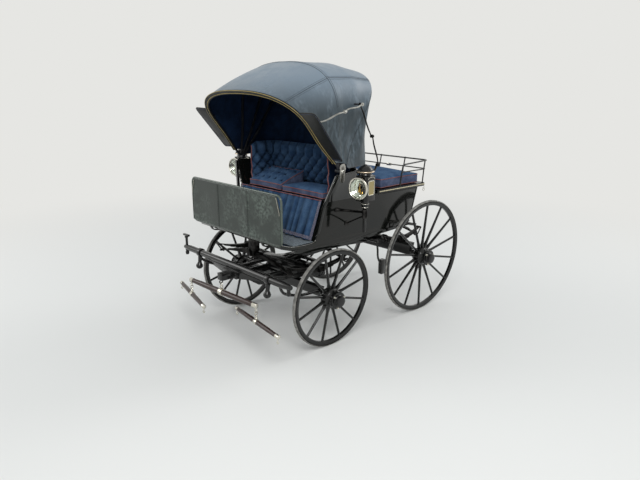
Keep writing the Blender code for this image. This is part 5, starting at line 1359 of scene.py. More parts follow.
def make_hood_edge():
    """The bound front edge of the hood: a flat band round the front bow between two cream welts."""
    ms = [k * 11 / 44 for k in range(45)]

    def edge(out, back):
        return both_sides(lambda m, side: bow_front(m, side, out, back), ms)

    parts = []
    for out, size, finish, back in ((0.002, 0.007, "wing", -0.012), (0.0075, 0.0021, "cream_piping", -0.016),
            (-0.0225, 0.0021, "cream_piping", -0.016), (-0.03, 0.006, "wing", -0.008)):
        fit(parts, finish, pipe(edge(out, back), size, 8))
    band = net([edge(out, -0.0125) for out in (-0.029, -0.02, -0.01, 0, 0.006)])
    fit(parts, "wing", thicken(band, 0.003, 0))
    finish_piece(join(parts), "hood_front_binding", "hood_bow_1", (), 50)


def make_wings():
    """The upright leather boards at both sides of the hood's front, with a sewn border."""
    reach = ARM_SPREAD + 0.134
    corners = [(ARM_SPREAD - 0.006, 0.15), (reach - 0.031, 0.142), (reach - 0.016, 0.158), (reach, 0.6),
        (reach - 0.01, 0.634), (reach - 0.038, 0.645), (HOOD_HALF - 0.028, 0.64), (HOOD_HALF + 0.002, 0.48),
        (HOOD_HALF + 0.004, 0.3), (HOOD_HALF + 0.02, 0.2)]
    for side, word in SIDES:
        path = []
        for k, (x, r) in enumerate(corners):
            # Each corner is taken round in three points
            nx, nr = corners[(k + 1) % len(corners)]
            px, pr = corners[k - 1]
            before = (x + (px - x) * 0.06, r + (pr - r) * 0.06)
            after = (x + (nx - x) * 0.06, r + (nr - r) * 0.06)
            path += [before, (x / 2 + (before[0] + after[0]) / 4, r / 2 + (before[1] + after[1]) / 4), after]
        face = [in_bow(BOWS[0][0], side * x, r, -0.0108) for x, r in path]
        sheet = dress(plate(face, 0.0045, 0.0012), "wing")
        # The board is thickened towards the front whichever way its outline ran
        centre = sum((v.co for v in sheet.data.vertices), Vector()) / len(sheet.data.vertices)
        normal = (in_bow(BOWS[0][0], 0, 0, 1.0) - PIVOT).normalized()
        sheet.data.transform(Matrix.Translation(normal * (-0.0131 - (centre - PIVOT).dot(normal))))
        welt = dress(pipe([in_bow(BOWS[0][0], side * x, r, -0.0131) for x, r in path], 0.0036, 8,
            closed=True), "wing")
        stitch = []
        for x, r in path:
            dx, dr = ARM_SPREAD + 0.045 - x, 0.4 - r
            away = hypot(dx, dr)
            stitch.append(in_bow(BOWS[0][0], side * (x + dx / away * 0.012), r + dr / away * 0.012, -0.0158))
        line = dress(pipe(stitch, 0.0009, 5, closed=True), "border")
        finish_piece(join([sheet, welt, line]), f"hood_wing_{word}_board", "hood_bow_1",
            [f"hood_wing_{word}"], 35)


# Where the two halves of each iron meet, and for each half: its far end, how far out it lies, and its set
KNUCKLE = PIVOT + Vector((0, -0.017, 0.492))
KNEE = PIVOT + Vector((0, 0.346, 0.275))
IRONS = {"front_iron_fore": (KNUCKLE, 0.798, -0.006), "front_iron_aft": (KNUCKLE, 0.782, 0.006),
    "back_iron_upper": (KNEE, 0.752, 0.004), "back_iron_lower": (KNEE, 0.767, -0.004)}


def ball(centre, radius):
    """A small ball."""
    choose()
    bpy.ops.mesh.primitive_uv_sphere_add(segments=20, ring_count=12, radius=radius, location=centre)
    return settle(bpy.context.object)


def make_irons():
    """The jointed irons that hold the hood up: tapered round bars with flat eyes, a ball at each knuckle."""
    for side, word in SIDES:
        for name, (far, out, sag) in IRONS.items():
            near = joint_place(f"{name}_{word}_pivot")
            a = Vector((side * out, near.y, near.z))
            b = Vector((side * out, far.y, far.z))
            way = (b - a).normalized()
            bend = Vector((0, -way.z, way.y)) * sag
            path = curve([a + way * 0.01, a.lerp(b, 0.3) + bend, a.lerp(b, 0.7) - bend, b - way * 0.01], 8)
            radii = [0.0052 + 0.0018 * sin(pi * k / (len(path) - 1)) for k in range(len(path))]
            parts = [pipe(path, radii, 12)]
            for eye, size in ((a, 0.015), (b, 0.0145)):
                parts.append(lathe([(0, 0), (0, size * 0.8), (0.0015, size), (0.0085, size),
                    (0.01, size * 0.8), (0.0101, 0)], eye - X_AXIS * 0.005, X_AXIS, 20))
            if name in ("front_iron_fore", "back_iron_lower"):
                parts.append(ball(b + X_AXIS * side * 0.004, 0.0125))
            parts.append(lathe([(0, 0), (0, 0.0075), (0.004, 0.007), (0.0055, 0.004), (0.0056, 0)],
                a + X_AXIS * side * 0.005, X_AXIS * side, 6))
            finish, slot = ("iron", "worn_steel") if name.startswith("front") else ("spring", "black_iron")
            finish_piece(dress(join(parts), finish), f"{name}_{word}_bar", f"{name}_{word}",
                [f"{name}_{word}"])


def make_hood_heads():
    """The spoon-shaped bright brackets on the seat's arms that carry the pivot of the bows."""
    face = ARM_SPREAD + 0.0044
    outline = [(-0.02, -0.085), (0.022, -0.085), (0.03, -0.01), (0.04, 0.02), (0.03, 0.056), (0.008, 0.066),
        (-0.016, 0.058), (-0.028, 0.034), (-0.024, 0.005)]
    corners = [Vector((*point, 0)) for point in outline]
    for side, word in SIDES:
        x = side * (face + 0.004)
        smooth = []
        for k in range(len(corners)):
            around = [corners[(k + d) % len(corners)] for d in (-1, 0, 1, 2)]
            for step in range(4):
                at = spline(*around, step / 4)
                smooth.append((x, PIVOT.y + at.x, PIVOT.z + at.y))
        spoon = plate(smooth, 0.0065, 0.0022)
        centre = sum((v.co.x for v in spoon.data.vertices)) / len(spoon.data.vertices)
        spoon.data.transform(Matrix.Translation((x - centre, 0, 0)))
        parts = [spoon]
        parts.append(lathe([(0, 0), (0, 0.0078), (0.098, 0.0078), (0.0981, 0)],
            (side * (ARM_SPREAD - 0.07), PIVOT.y, PIVOT.z), X_AXIS * side, 20))
        parts.append(lathe([(0, 0), (0, 0.015), (0.006, 0.015), (0.009, 0.012), (0.012, 0.006), (0.0121, 0)],
            (side * (face + 0.0075), PIVOT.y, PIVOT.z), X_AXIS * side, 20))
        finish_piece(dress(join(parts), "iron"), f"hood_pivot_{word}_bracket", "chassis",
            [f"hood_head_{word}"])


# Lamps

LAMP_X = 0.895
LAMP_Y = FRONT_Y + 0.19
LAMP_Z = 1.452
LAMP_YAW = {1: radians(8), -1: radians(4)}
SOCKET_TOP = 1.068


def make_lamps():
    """Round-fronted carriage lamps: bright bezel, cut glass, silvered dish behind a burner, domed chimney."""
    y, z = LAMP_Y, LAMP_Z
    for side, word in SIDES:
        x = side * LAMP_X
        outline = rounded((-0.06, -0.064), (0.06, 0.071), 0.02, 5)
        rows = []
        for level, grow in ((-0.114, -0.006), (-0.111, 0), (0.098, 0), (0.101, -0.006)):
            rows.append([(x + a * (1 + grow / 0.06), y + b * (1 + grow / 0.06), z + level) for a,
                b in outline])
        parts = [dress(net(rows, ring=True), "lamp")]
        # Front bezel, the tapering collar behind it, and the fine bead round its edge
        front = y - 0.112
        fit(parts, "nickel", hoop([(0.002, 0.082), (-0.001, 0.086), (0.000, 0.092), (0.003, 0.094),
            (0.014, 0.094), (0.02, 0.09), (0.02, 0.08), (0.01, 0.078)], (x, front, z), Y_AXIS, 72))
        fit(parts, "lamp", hoop([(0.018, 0.084), (0.022, 0.089), (0.05, 0.07), (0.075, 0.062), (0.075, 0.056),
            (0.034, 0.06)], (x, front, z), Y_AXIS, 64))
        for at, radius in ((0.026, 0.0868), (0.049, 0.0712)):
            fit(parts, "nickel", wire_ring(radius, 0.0018, (x, front + at, z), Y_AXIS, 64))
        # The dish is spun in three steps, so that rings show in it
        dish = [(0.054, 0), (0.0535, 0.014), (0.051, 0.028), (0.0485, 0.0295), (0.047, 0.03), (0.04, 0.05),
            (0.0375, 0.0515), (0.036, 0.052), (0.022, 0.07), (0.013, 0.0785), (0.015, 0.0805), (0.026, 0.073),
            (0.044, 0.054), (0.055, 0.03), (0.0565, 0)]
        fit(parts, "mirror", lathe(dish, (x, front, z), Y_AXIS, 64))
        burner = lathe([(0, 0), (0, 0.013), (0.004, 0.014), (0.03, 0.012), (0.034, 0.008), (0.048, 0.0075),
            (0.0482, 0)], (x, front + 0.034, z - 0.034), Z_AXIS, 20)
        fit(parts, "brass", burner)
        fit(parts, "wick", lathe([(0, 0), (0, 0.0085), (0.012, 0.0095), (0.026, 0.007), (0.034, 0.002),
            (0.0342, 0)], (x, front + 0.034, z + 0.012), Z_AXIS, 16))
        # Side windows: yellowed glass in a bright frame, with a bright arch over it
        for face in (1, -1):
            wx = x + face * 0.06
            frame_line = [(wx, y + a, z + b) for a, b in rounded((-0.038, -0.06), (0.044, 0.058), 0.012, 4)]
            fit(parts, "nickel", pipe(frame_line, 0.0038, 8, closed=True))
            arch = [(wx, y + 0.003 + 0.046 * cos(pi * k / 12), z + 0.072 + 0.018 * sin(pi * k / 12))
                for k in range(13)]
            fit(parts, "nickel", pipe(arch, 0.0022, 8))
            window = plate([(wx + face * 0.0006, y + a, z + b) for a,
                b in rounded((-0.036, -0.058), (0.042, 0.056), 0.011, 4)], 0.0012)
            fit(parts, "pane", window)
        # Chimney: waisted neck, thick pale ring, domed cap with its vents
        top = z + 0.095
        chimney = lathe([(0, 0), (0.000, 0.06), (0.005, 0.062), (0.01, 0.056), (0.03, 0.052), (0.035, 0.06),
            (0.038, 0.07), (0.041, 0.071), (0.05, 0.069), (0.054, 0.062), (0.066, 0.057), (0.078, 0.045),
            (0.086, 0.03), (0.09, 0.018), (0.094, 0.014), (0.097, 0.009), (0.098, 0)],
            (x, y, top), Z_AXIS, 48)
        fit(parts, "lamp", chimney)
        fit(parts, "cap_ring", wire_ring(0.0718, 0.0048, (x, y, top + 0.0385), Z_AXIS, 64, 12))
        for angle in turns(10):
            centre = Vector((x + cos(angle) * 0.0655, y + sin(angle) * 0.0655, top + 0.051))
            fit(parts, "lamp", ball(centre, 0.0042))
        # Stem: cup, ball and tapering barrel down to the socket
        drop = z - 0.11
        stem = lathe([(0, 0), (0, 0.048), (0.004, 0.05), (0.016, 0.04), (0.024, 0.032), (0.03, 0.034),
            (0.036, 0.031), (0.058, 0.029), (0.066, 0.026), (0.074, 0.019), (0.079, 0.0148),
            (drop - SOCKET_TOP, 0.0148), (drop - SOCKET_TOP + 0.006, 0.012), (drop - SOCKET_TOP + 0.008, 0)],
            (x, y, drop), -Z_AXIS, 32)
        fit(parts, "lamp", stem)
        for at, size in ((0.03, 0.0345), (0.06, 0.0295)):
            fit(parts, "nickel", wire_ring(size, 0.0018, (x, y, drop - at), Z_AXIS, 40))
        stand = Vector((x, y, 0))
        turned = Matrix.Translation(stand) @ Matrix.Rotation(LAMP_YAW[side], 4,
            "Z") @ Matrix.Translation(-stand)
        lamp = join(parts)
        lamp.data.transform(turned)
        finish_piece(lamp, f"carriage_lamp_{word}", f"lamp_{word}", [f"lamp_{word}"])
        glass = lathe([(0.0035, 0), (0.0035, 0.066), (0.0055, 0.081), (0.0085, 0.081), (0.0085, 0)],
            (x, front, z), Y_AXIS, 48)
        glass.data.transform(turned)
        finish_piece(dress(glass, "glass"), f"lamp_{word}_front_glass", f"lamp_{word}", ())


# Rear rail

RAIL_BACK = TAIL_Y + 0.14
RAIL_TOP = DECK_Z + 0.22
RAIL_LOW = DECK_Z + 0.135
RAIL_CORNER = 0.035
STANCHIONS = (-0.33, 0, 0.33)
FOOT = [(0, 0), (0, 0.014), (0.003, 0.014), (0.006, 0.009), (0.0062, 0)]


def rail_tube(start_line, back, level, size):
    """One tube of the rear rail: on from its start round the back corner, and the same on the other side."""
    path = start_line + [Vector((HALF_BODY - RAIL_CORNER + RAIL_CORNER * cos(a),
        back - RAIL_CORNER + RAIL_CORNER * sin(a), level)) for a in (0, 0.4, 0.8, 1.2, pi / 2)]
    return pipe(path + [Vector((-p.x, p.y, p.z)) for p in reversed(path)], size, 12)


def make_rear_rail():
    """The rear seat's rail: two tubes on five stanchions, with a clip and the hooks for the rug straps."""
    low_back = RAIL_BACK - 0.02
    foot_y, front_y, deck_y = TAIL_Y - 0.28, TAIL_Y - 0.23, TAIL_Y + 0.09
    foot_z = DECK_Z + 0.0006
    upper = curve([(HALF_BODY, foot_y, DECK_Z + 0.002), (HALF_BODY, front_y - 0.015, RAIL_TOP - 0.04),
        (HALF_BODY, front_y + 0.005, RAIL_TOP - 0.015), (HALF_BODY, front_y + 0.035, RAIL_TOP - 0.012)], 5)
    upper += [Vector((HALF_BODY, front_y + 0.2, RAIL_TOP - 0.006)),
        Vector((HALF_BODY, RAIL_BACK - 0.045, RAIL_TOP))]
    lower = [Vector((HALF_BODY, front_y - 0.024, RAIL_LOW)), Vector((HALF_BODY, low_back - 0.045, RAIL_LOW))]
    parts = [rail_tube(upper, RAIL_BACK, RAIL_TOP, 0.0076), rail_tube(lower, low_back, RAIL_LOW, 0.0062)]
    for x in STANCHIONS:
        parts.append(pipe([(x, deck_y, DECK_Z + 0.001), (x, low_back, RAIL_LOW),
            (x, RAIL_BACK, RAIL_TOP)], 0.0066, 12))
        parts.append(lathe(FOOT, (x, deck_y, foot_z), Z_AXIS, 16))
    for x in (-HALF_BODY, HALF_BODY):
        parts.append(pipe([(x, deck_y - 0.02, DECK_Z + 0.001), (x, low_back - 0.035, RAIL_LOW),
            (x, RAIL_BACK - 0.04, RAIL_TOP)], 0.0066, 12))
        for at in (deck_y - 0.02, foot_y):
            parts.append(lathe(FOOT, (x - copysign(0.002, x), at, foot_z), Z_AXIS, 16))
    for x in STANCHIONS:
        parts += [ball((x, RAIL_BACK, RAIL_TOP), 0.0105), ball((x, low_back, RAIL_LOW), 0.0105)]
    parts = [dress(join(parts), "running")]
    # A nickel clip on the lower rail, and the nickel hooks for the rug straps
    fit(parts, "nickel", box((0.1, low_back - 0.01, RAIL_LOW - 0.014),
        (0.16, low_back + 0.008, RAIL_LOW + 0.012), 0.003))
    for side, _ in SIDES:
        centre = Vector((side * (HALF_BODY - 0.02), TAIL_Y + 0.1135, DECK_Z - 0.03))
        hook = [centre + Vector((0, back, rise)) for back,
            rise in ((0, 0), (0.01, -0.006), (0.016, -0.022), (0.01, -0.036), (0, -0.036), (-0.004, -0.028))]
        fit(parts, "nickel", pipe(curve(hook, 4), 0.0028, 8),
            wire_ring(0.014, 0.0022, centre + Vector((0, 0.01, -0.05)), X_AXIS, 24))
    finish_piece(join(parts), "rear_seat_rail_tubes", "chassis", ["rear_rail"])


# Draught gear

MAIN_BAR_LENGTH = 0.98
MAIN_BAR_YAW = radians(3.5)
TREE_LENGTH = 0.76
TREE_YAW = {1: radians(-8.2), -1: radians(-14.0)}


def ferrule(start_at, way, length, radius):
    """A nickel ferrule on the end of a bar, its mouth towards the bar's middle."""
    profile = [(0, 0), (0, radius * 0.72), (0.003, radius * 0.95), (0.006, radius), (length - 0.004, radius),
        (length - 0.002, radius * 1.05), (length, radius * 1.02), (length + 0.0004, 0)]
    return dress(lathe(profile, start_at, way, 28), "nickel")


def hook_and_link(tip, along, parts):
    """A cast hook under the ferrule, with the trace ring hung in it."""
    down = [tip - Z_AXIS * 0.012, tip - Z_AXIS * 0.03, tip - Z_AXIS * 0.046 + along.cross(Z_AXIS) * 0.01,
        tip - Z_AXIS * 0.058, tip - Z_AXIS * 0.05 - along.cross(Z_AXIS) * 0.01]
    fit(parts, "nickel", pipe(curve(down, 5), [0.005 - 0.0022 * k / 20 for k in range(21)], 10))
    fit(parts, "nickel", wire_ring(0.0085, 0.0022, tip - Z_AXIS * 0.052, along, 24))


def turned_bar(centre, along, length, middle, end):
    """The bar itself: thick at its middle, tapering towards the ferrules."""
    profile = [(0.004, 0)]
    for k in range(25):
        s = k / 24
        bulge = sin(pi * s) ** 0.7
        profile.append((0.004 + (length - 0.008) * s, (end * 0.88 + (middle - end * 0.88) * bulge)))
    profile.append((length - 0.004, 0))
    return dress(lathe(profile, centre - along * length / 2, along, 28), "bar")


def make_draught_bars():
    """The main bar with its hooks and swivels, the links it hangs by, and its two swingletrees."""
    centre = Vector((0, SOCKET_Y, MAIN_BAR_Z))
    main_along = Vector((cos(MAIN_BAR_YAW), sin(MAIN_BAR_YAW), 0))
    parts = [turned_bar(centre, main_along, MAIN_BAR_LENGTH, 0.0268, 0.0215)]
    for side, word in SIDES:
        parts.append(ferrule(centre + main_along * side * MAIN_BAR_LENGTH / 2, -main_along * side,
            0.05, 0.0222))
        tree = joint_place(f"swingletree_{word}_yaw")
        tip = Vector((tree.x, tree.y, MAIN_BAR_Z))
        # Hook, swivel eye and the ring that carries the swingletree
        fit(parts, "nickel", pipe([tip - Z_AXIS * 0.012, tip - Z_AXIS * 0.034], 0.0058, 10))
        fit(parts, "nickel", wire_ring(0.0135, 0.0036, tip - Z_AXIS * 0.046, Y_AXIS, 28))
        fit(parts, "nickel", wire_ring(0.015, 0.0034, tip - Z_AXIS * 0.07, X_AXIS, 28))
        fit(parts, "nickel", wire_ring(0.012, 0.0034, tip - Z_AXIS * 0.093, Y_AXIS, 28))
        fit(parts, "nickel", lathe([(0, 0), (0, 0.008), (0.006, 0.012), (0.014, 0.013), (0.0145, 0)],
            tip - Z_AXIS * 0.103, -Z_AXIS, 16))
    fit(parts, "nickel", hoop([(-0.026, 0.0262), (-0.026, 0.0296), (-0.02, 0.031), (0.02, 0.031),
        (0.026, 0.0296), (0.026, 0.0262)], centre, main_along, 32))
    finish_piece(join(parts), "main_bar_with_ferrules", "main_bar", ["main_bar"])

    top = Vector((0, SOCKET_Y, LINK_TOP))
    links = [wire_ring(0.0165, 0.004, top - Z_AXIS * 0.017, Y_AXIS, 28)]
    links.append(wire_ring(0.0125, 0.0038, top - Z_AXIS * 0.044, X_AXIS, 28))
    links.append(lathe([(0, 0), (0, 0.012), (0.004, 0.016), (0.007, 0.016), (0.0072, 0)],
        centre + Z_AXIS * 0.0305, Z_AXIS, 20))
    finish_piece(dress(join(links), "nickel"), "main_bar_hanging_links", "main_bar_link",
        ["main_bar_link"])

    half = TREE_LENGTH / 2
    for side, word in SIDES:
        yaw = TREE_YAW[side]
        along = Vector((cos(yaw), sin(yaw), 0))
        middle = joint_place(f"swingletree_{word}_yaw")
        parts = [turned_bar(middle, along, TREE_LENGTH, 0.0218, 0.0182)]
        for end in (1, -1):
            parts.append(ferrule(middle + along * end * half, -along * end, 0.046, 0.019))
            hook_and_link(middle + along * end * (half - 0.016), along, parts)
        fit(parts, "nickel", hoop([(-0.024, 0.0212), (-0.024, 0.024), (-0.019, 0.0254), (0.019, 0.0254),
            (0.024, 0.024), (0.024, 0.0212)], middle, along, 32))
        finish_piece(join(parts), f"swingletree_{word}_with_hooks", f"swingletree_{word}",
            [f"swingletree_{word}"])


SPLINTER_Y = FRONT_Y - 0.576
SPLINTER_Z = 0.722
SPLINTER_HALF = 0.83
HALF_TRACK = 0.705


def make_splinter_bar():
    """The splinter bar with its clamps, their turned drops, its stays, and the roller bolts at the ends."""
    y, z, half, track = SPLINTER_Y, SPLINTER_Z, SPLINTER_HALF, HALF_TRACK
    path = [(-half, y, z), (-half + 0.02, y, z), (-half + 0.1, y, z), (half - 0.1, y, z),
        (half - 0.02, y, z), (half, y, z)]
    parts = [pipe(path, [0.019, 0.022, 0.0305, 0.0305, 0.022, 0.019], 20)]
    for side, _ in SIDES:
        x = side * (half - 0.29)
        parts.append(hoop([(-0.026, 0.03), (-0.026, 0.0385), (-0.02, 0.041), (0.02, 0.041), (0.026, 0.0385),
            (0.026, 0.03)], (x, y, z), X_AXIS, 40))
        drop = [(0.018, 0.0205), (0.035, 0.02), (0.06, 0.0185), (0.09, 0.018), (0.1, 0.02), (0.112, 0.0275),
            (0.122, 0.0325), (0.13, 0.034), (0.138, 0.033), (0.147, 0.028), (0.155, 0.02), (0.16, 0.01)]
        parts.append(pipe([(x, y - 0.003 - 0.14 * d, z - d) for d, _ in drop],
            [size for _, size in drop], 20))
        stay = curve([(side * (track - 0.045), y + 0.01, z - 0.01),
            (side * (track - 0.085), y + 0.1, z - 0.13),
            (side * (track - 0.135), FRONT_Y - 0.25, FRONT_HUB.z + 0.055),
            (side * (track - 0.155), FRONT_Y - 0.041, FRONT_HUB.z + 0.035)], 10)
        parts.append(pipe(stay, 0.0128, 14))
        knob = (side * (half - 0.03), y, z - 0.075)
        parts.append(lathe([(0, 0), (0, 0.012), (0.006, 0.017), (0.024, 0.019), (0.036, 0.014), (0.06, 0.017),
            (0.0602, 0)], knob, Z_AXIS, 20))
    bolt = Vector((-half + 0.03, y, z))
    parts.append(pipe([bolt, bolt + Z_AXIS * 0.114], 0.0125, 16))
    parts.append(lathe([(0, 0), (0, 0.02), (0.006, 0.021), (0.01, 0.015), (0.0102, 0)],
        bolt + Z_AXIS * 0.1, Z_AXIS, 20))
    parts.append(box(bolt + Vector((-0.048, -0.013, 0.114)), bolt + Vector((0.048, 0.013, 0.133)), 0.005, 3))
    finish_piece(dress(join(parts), "running"), "splinter_bar_with_roller_bolt", "fore_carriage",
        ["splinter_bar"])


def make_running_gear():
    """The timbers and irons underneath, with their edges eased and their bolts in place."""
    plate_radius, plate_top = 0.3425, 0.6086
    bolts = []
    for angle in turns(8):
        a = angle + pi / 8
        place = (cos(a) * plate_radius, FRONT_Y + sin(a) * plate_radius, plate_top)
        bolts.append(lathe([(0, 0), (0, 0.009), (0.006, 0.009), (0.008, 0.007), (0.0081, 0)],
            place, Z_AXIS, 6))
    refined("transom", "transom_and_wheel_plate", "chassis", "running", 0.0025, 2,
        [dress(join(bolts), "spring")])
    refined("futchells", "futchells_and_pole_socket", "fore_carriage", "running",
        0.003, 2)
    refined("perch", "bowed_perch", "chassis", "running", 0.006, 3)
    for end, body in (("front", "fore_carriage"), ("rear", "chassis")):
        refined(f"{end}_axle", f"{end}_axle_and_bed", body, "running", 0.003, 2)
    refined("brake_gear", "brake_shaft_and_blocks", "brake_gear", "running", 0.0015, 1)
    for _, word in SIDES:
        refined(f"lamp_bracket_{word}", f"lamp_{word}_socket_bracket", "chassis", "spring",
            0.0012, 1)
    refined("floor_mat", "ribbed_floor_mat", "chassis", "mat", 0.002, 2)
    for number in range(1, 5):
        refined(f"hood_bow_{number}", f"bound_bow_{number}", f"hood_bow_{number}", "bow",
            0.002, 2)


# Stage

CAMERA_PLACE = (4.1167, -3.7725, 2.2678)
CAMERA_AZIMUTH = 47.67
CAMERA_ELEVATION = 15.17


def background_rays(material):
    """1 for the rays that show a background, to the camera or in metal and glass, and 0 for the rest."""
    ray = add(material, "LightPath").outputs
    mirrored = add(material, "Math", {0: ray["Is Glossy Ray"], 1: ray["Is Transmission Ray"]},
        operation="MAXIMUM")
    return add(material, "Math", {0: ray["Is Camera Ray"], 1: mirrored.outputs[0]},
        operation="MAXIMUM").outputs[0]


def make_stage(look):
    """A pale floor that runs into the backdrop, three softboxes, and the camera of the photograph."""
    floor_colour = tuple(look.floor)
    material, shader = start("matt_studio_floor", {"Base Color": floor_colour, "Roughness": 0.95,
        "Specular IOR Level": 0.1})
    # Far from the carriage the floor is shown in the backdrop's colour, so that no horizon is seen
    place = add(material, "TexCoord").outputs["Object"]
    away = add(material, "VectorMath", {0: place}, operation="LENGTH").outputs["Value"]
    far = add(material, "MapRange", {"Value": away, "From Min": 2.2, "From Max": 8.0},
        interpolation_type="SMOOTHSTEP").outputs[0]
    seen = add(material, "Math", {0: far, 1: background_rays(material)}, operation="MULTIPLY").outputs[0]
    backdrop = add(material, "Emission", {"Color": (*floor_colour, 1.0)})
    faded = add(material, "MixShader", {0: seen, 1: shader.outputs[0], 2: backdrop.outputs[0]})
    material.node_tree.links.new(faded.outputs[0], material.node_tree.nodes["Material Output"].inputs[0])
    choose()
    bpy.ops.mesh.primitive_plane_add(size=60, location=(0, 0, -0.0005))
    floor = settle(bpy.context.object)
    floor.name = "studio_floor"
    floor.data.materials.append(material)

    world = bpy.data.worlds.new("studio_world")
    bpy.context.scene.world = world
    world.use_nodes = True
    world.node_tree.nodes.clear()
    lit = add(world, "Background", {"Color": (0.93, 0.97, 1.0, 1.0), "Strength": look.sky})
    shown = add(world, "Background", {"Color": (*floor_colour, 1.0)})
    blend = add(world, "MixShader", {0: background_rays(world), 1: lit.outputs[0], 2: shown.outputs[0]})
    add(world, "OutputWorld", {"Surface": blend.outputs[0]})

    # Name, place, what it is aimed at, size and power of each softbox
    for name, place, aim, size, power in (("key_softbox", (5.5, -4.5, 6.5), (0, 0, 0.9), 3.5, look.key),
            ("fill_softbox", (-6.0, -5.0, 4.5), (0, 0, 0.9), 4.0, look.key * 0.42),
            ("rim_softbox", (2.0, 7.0, 6.0), (0, 0, 1.0), 4.0, look.key * 0.5)):
        bpy.ops.object.light_add(type="AREA", location=place)
        lamp = bpy.context.object
        lamp.name = name
        lamp.data.energy = power
        lamp.data.size = size
        lamp.rotation_euler = (Vector(aim) - Vector(place)).to_track_quat("-Z", "Y").to_euler()

    bpy.ops.object.camera_add(location=CAMERA_PLACE)
    camera = bpy.context.object
    camera.name = "photo_camera"
    azimuth, elevation = radians(CAMERA_AZIMUTH), radians(CAMERA_ELEVATION)
    level = cos(elevation)
    back = Vector((sin(azimuth) * level, -cos(azimuth) * level, sin(elevation)))
    camera.rotation_euler = back.to_track_quat("Z", "Y").to_euler()
    camera.data.sensor_width = 36.0
    camera.data.lens = look.lens
    camera.data.clip_end = 200.0
    bpy.context.scene.camera = camera
    bpy.context.scene.view_settings.view_transform = "Standard"


# What a user may change

COLOUR = {"subtype": "COLOR", "size": 3, "min": 0, "max": 1}


class PhaetonColours(bpy.types.PropertyGroup):
    """Colours of the coachwork and its trimming."""
    enamel: bpy.props.FloatVectorProperty(name="Coach enamel",
        description="Colour of the painted body and running gear", **COLOUR, default=linear("#0c0e0c"))
    cloth: bpy.props.FloatVectorProperty(name="Cloth", description="Colour of the squab, cushions and fall",
        **COLOUR, default=linear("#2d4666"))
    piping: bpy.props.FloatVectorProperty(name="Piping",
        description="Colour of the piping round the cushions", **COLOUR, default=linear("#7a4a48"))


class PhaetonStage(bpy.types.PropertyGroup):
    """Light, floor and lens of the studio."""
    floor: bpy.props.FloatVectorProperty(name="Floor", description="Colour of the studio floor and backdrop",
        **COLOUR, default=linear("#e6e6e3"))
    key: bpy.props.FloatProperty(name="Key light", description="Power of the main softbox", default=330.0,
        min=0.0, unit="POWER")
    sky: bpy.props.FloatProperty(name="Sky", description="Strength of the even light from all round",
        default=0.6, min=0.0)
    lens: bpy.props.FloatProperty(name="Lens", description="Focal length of the camera", default=31.82,
        min=1.0, unit="CAMERA")


class PhaetonSizes(bpy.types.PropertyGroup):
    """Sizes of the wheels, as they are in the frame."""
    front_wheel: bpy.props.FloatProperty(name="Front wheel",
        description="Diameter of the front wheels over their tyres", default=0.91, min=0.3, unit="LENGTH")
    rear_wheel: bpy.props.FloatProperty(name="Rear wheel",
        description="Diameter of the rear wheels over their tyres", default=1.17, min=0.3, unit="LENGTH")
    front_spokes: bpy.props.IntProperty(name="Front spokes", description="Spokes in each front wheel",
        default=12, min=6)
    rear_spokes: bpy.props.IntProperty(name="Rear spokes", description="Spokes in each rear wheel",
        default=14, min=6)


class PHAETON_OT_finishes(bpy.types.Operator):
    """Mixes the paints, metals, leathers and cloths"""
    bl_idname = "phaeton.finishes"
    bl_label = "Finishes"

    def execute(self, context):
        make_finishes(context.scene.phaeton_colours)
        return {"FINISHED"}


class PHAETON_OT_stage(bpy.types.Operator):
    """Sets the floor, the softboxes and the camera"""
    bl_idname = "phaeton.stage"
    bl_label = "Stage and camera"

    def execute(self, context):
        make_stage(context.scene.phaeton_stage)
        return {"FINISHED"}


class PHAETON_OT_wheels(bpy.types.Operator):
    """Builds the four spoked wheels with their tyres and hub caps"""
    bl_idname = "phaeton.wheels"
    bl_label = "Wheels"

    def execute(self, context):
        sizes = context.scene.phaeton_sizes
        for side, word in SIDES:
            make_wheel(f"front_{word}", side, FRONT_HUB, sizes.front_wheel / 2, sizes.front_spokes)
            make_wheel(f"rear_{word}", side, REAR_HUB, sizes.rear_wheel / 2, sizes.rear_spokes)
        return {"FINISHED"}


class PHAETON_OT_springs(bpy.types.Operator):
    """Builds the leaf springs and the shackles between them"""
    bl_idname = "phaeton.springs"
    bl_label = "Springs"

    def execute(self, context):
        make_springs()
        make_shackles()
        return {"FINISHED"}


class PHAETON_OT_running_gear(bpy.types.Operator):
    """Eases the timbers and irons of the undercarriage and builds the splinter bar"""
    bl_idname = "phaeton.running_gear"
    bl_label = "Undercarriage"

    def execute(self, context):
        make_running_gear()
        make_splinter_bar()
        return {"FINISHED"}


class PHAETON_OT_draught_bars(bpy.types.Operator):
    """Builds the main bar and its two swingletrees"""
    bl_idname = "phaeton.draught_bars"
    bl_label = "Draught bars"

    def execute(self, context):
        make_draught_bars()
        return {"FINISHED"}


class PHAETON_OT_body(bpy.types.Operator):
    """Finishes the body with its mouldings, steps and dash"""
    bl_idname = "phaeton.body"
    bl_label = "Body and dash"

    def execute(self, context):
        make_body()
        make_dash()
        return {"FINISHED"}


class PHAETON_OT_seats(bpy.types.Operator):
    """Trims the seats: squab, cushions, pleated fall and rear rail"""
    bl_idname = "phaeton.seats"
    bl_label = "Seats and trimming"

    def execute(self, context):
        make_seat_frame()
        make_squab()
        make_cushions()
        make_fall()
        make_rear_rail()
        return {"FINISHED"}


class PHAETON_OT_hood(bpy.types.Operator):
    """Covers the bows with leather and lining, and adds the wings and irons"""
    bl_idname = "phaeton.hood"
    bl_label = "Hood"

    def execute(self, context):
        make_hood()
        make_hood_edge()
        make_wings()
        make_irons()
        make_hood_heads()
        return {"FINISHED"}


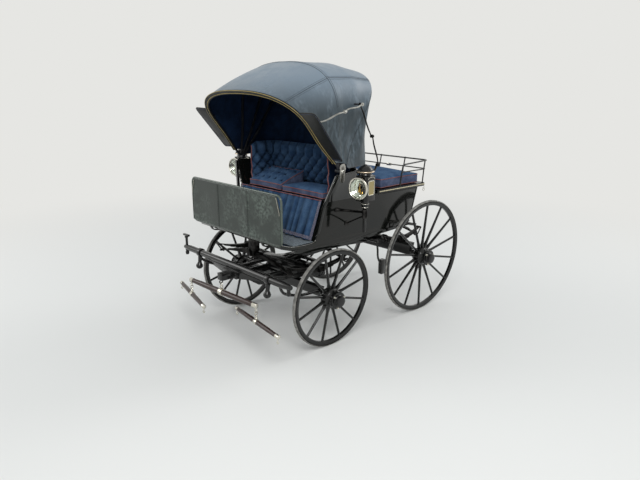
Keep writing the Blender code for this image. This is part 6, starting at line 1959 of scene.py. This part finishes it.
class PHAETON_OT_lamps(bpy.types.Operator):
    """Builds the two carriage lamps"""
    bl_idname = "phaeton.lamps"
    bl_label = "Lamps"

    def execute(self, context):
        make_lamps()
        return {"FINISHED"}


class PHAETON_PT_panel(bpy.types.Panel):
    """Lists the carriage's groups of pieces in the sidebar."""
    bl_label = "Mail Phaeton"
    bl_idname = "PHAETON_PT_panel"
    bl_space_type = "VIEW_3D"
    bl_region_type = "UI"
    bl_category = "Phaeton"

    def draw(self, context):
        scene = context.scene
        for group in (scene.phaeton_colours, scene.phaeton_stage, scene.phaeton_sizes):
            column = self.layout.column(align=True)
            for name in group.__annotations__:
                column.prop(group, name)
        for step in STEPS:
            self.layout.operator(step.bl_idname)


GROUPS = (PhaetonColours, PhaetonStage, PhaetonSizes)
STEPS = (PHAETON_OT_finishes, PHAETON_OT_stage, PHAETON_OT_wheels, PHAETON_OT_springs,
    PHAETON_OT_running_gear, PHAETON_OT_draught_bars, PHAETON_OT_body, PHAETON_OT_seats, PHAETON_OT_hood,
    PHAETON_OT_lamps)
CLASSES = (*GROUPS, *STEPS, PHAETON_PT_panel)


def register():
    """Adds the settings, operators and panel to Blender."""
    for cls in CLASSES:
        bpy.utils.register_class(cls)
    bpy.types.Scene.phaeton_colours = bpy.props.PointerProperty(type=PhaetonColours)
    bpy.types.Scene.phaeton_stage = bpy.props.PointerProperty(type=PhaetonStage)
    bpy.types.Scene.phaeton_sizes = bpy.props.PointerProperty(type=PhaetonSizes)


def unregister():
    """Takes them out again."""
    for name in ("phaeton_colours", "phaeton_stage", "phaeton_sizes"):
        delattr(bpy.types.Scene, name)
    for cls in reversed(CLASSES):
        bpy.utils.unregister_class(cls)


def main():
    """Builds the carriage in order."""
    register()
    bpy.ops.phaeton.finishes()
    bpy.ops.phaeton.stage()
    bpy.ops.phaeton.wheels()
    bpy.ops.phaeton.springs()
    bpy.ops.phaeton.running_gear()
    bpy.ops.phaeton.draught_bars()
    bpy.ops.phaeton.body()
    bpy.ops.phaeton.seats()
    bpy.ops.phaeton.hood()
    bpy.ops.phaeton.lamps()


if __name__ == "__main__":
    main()
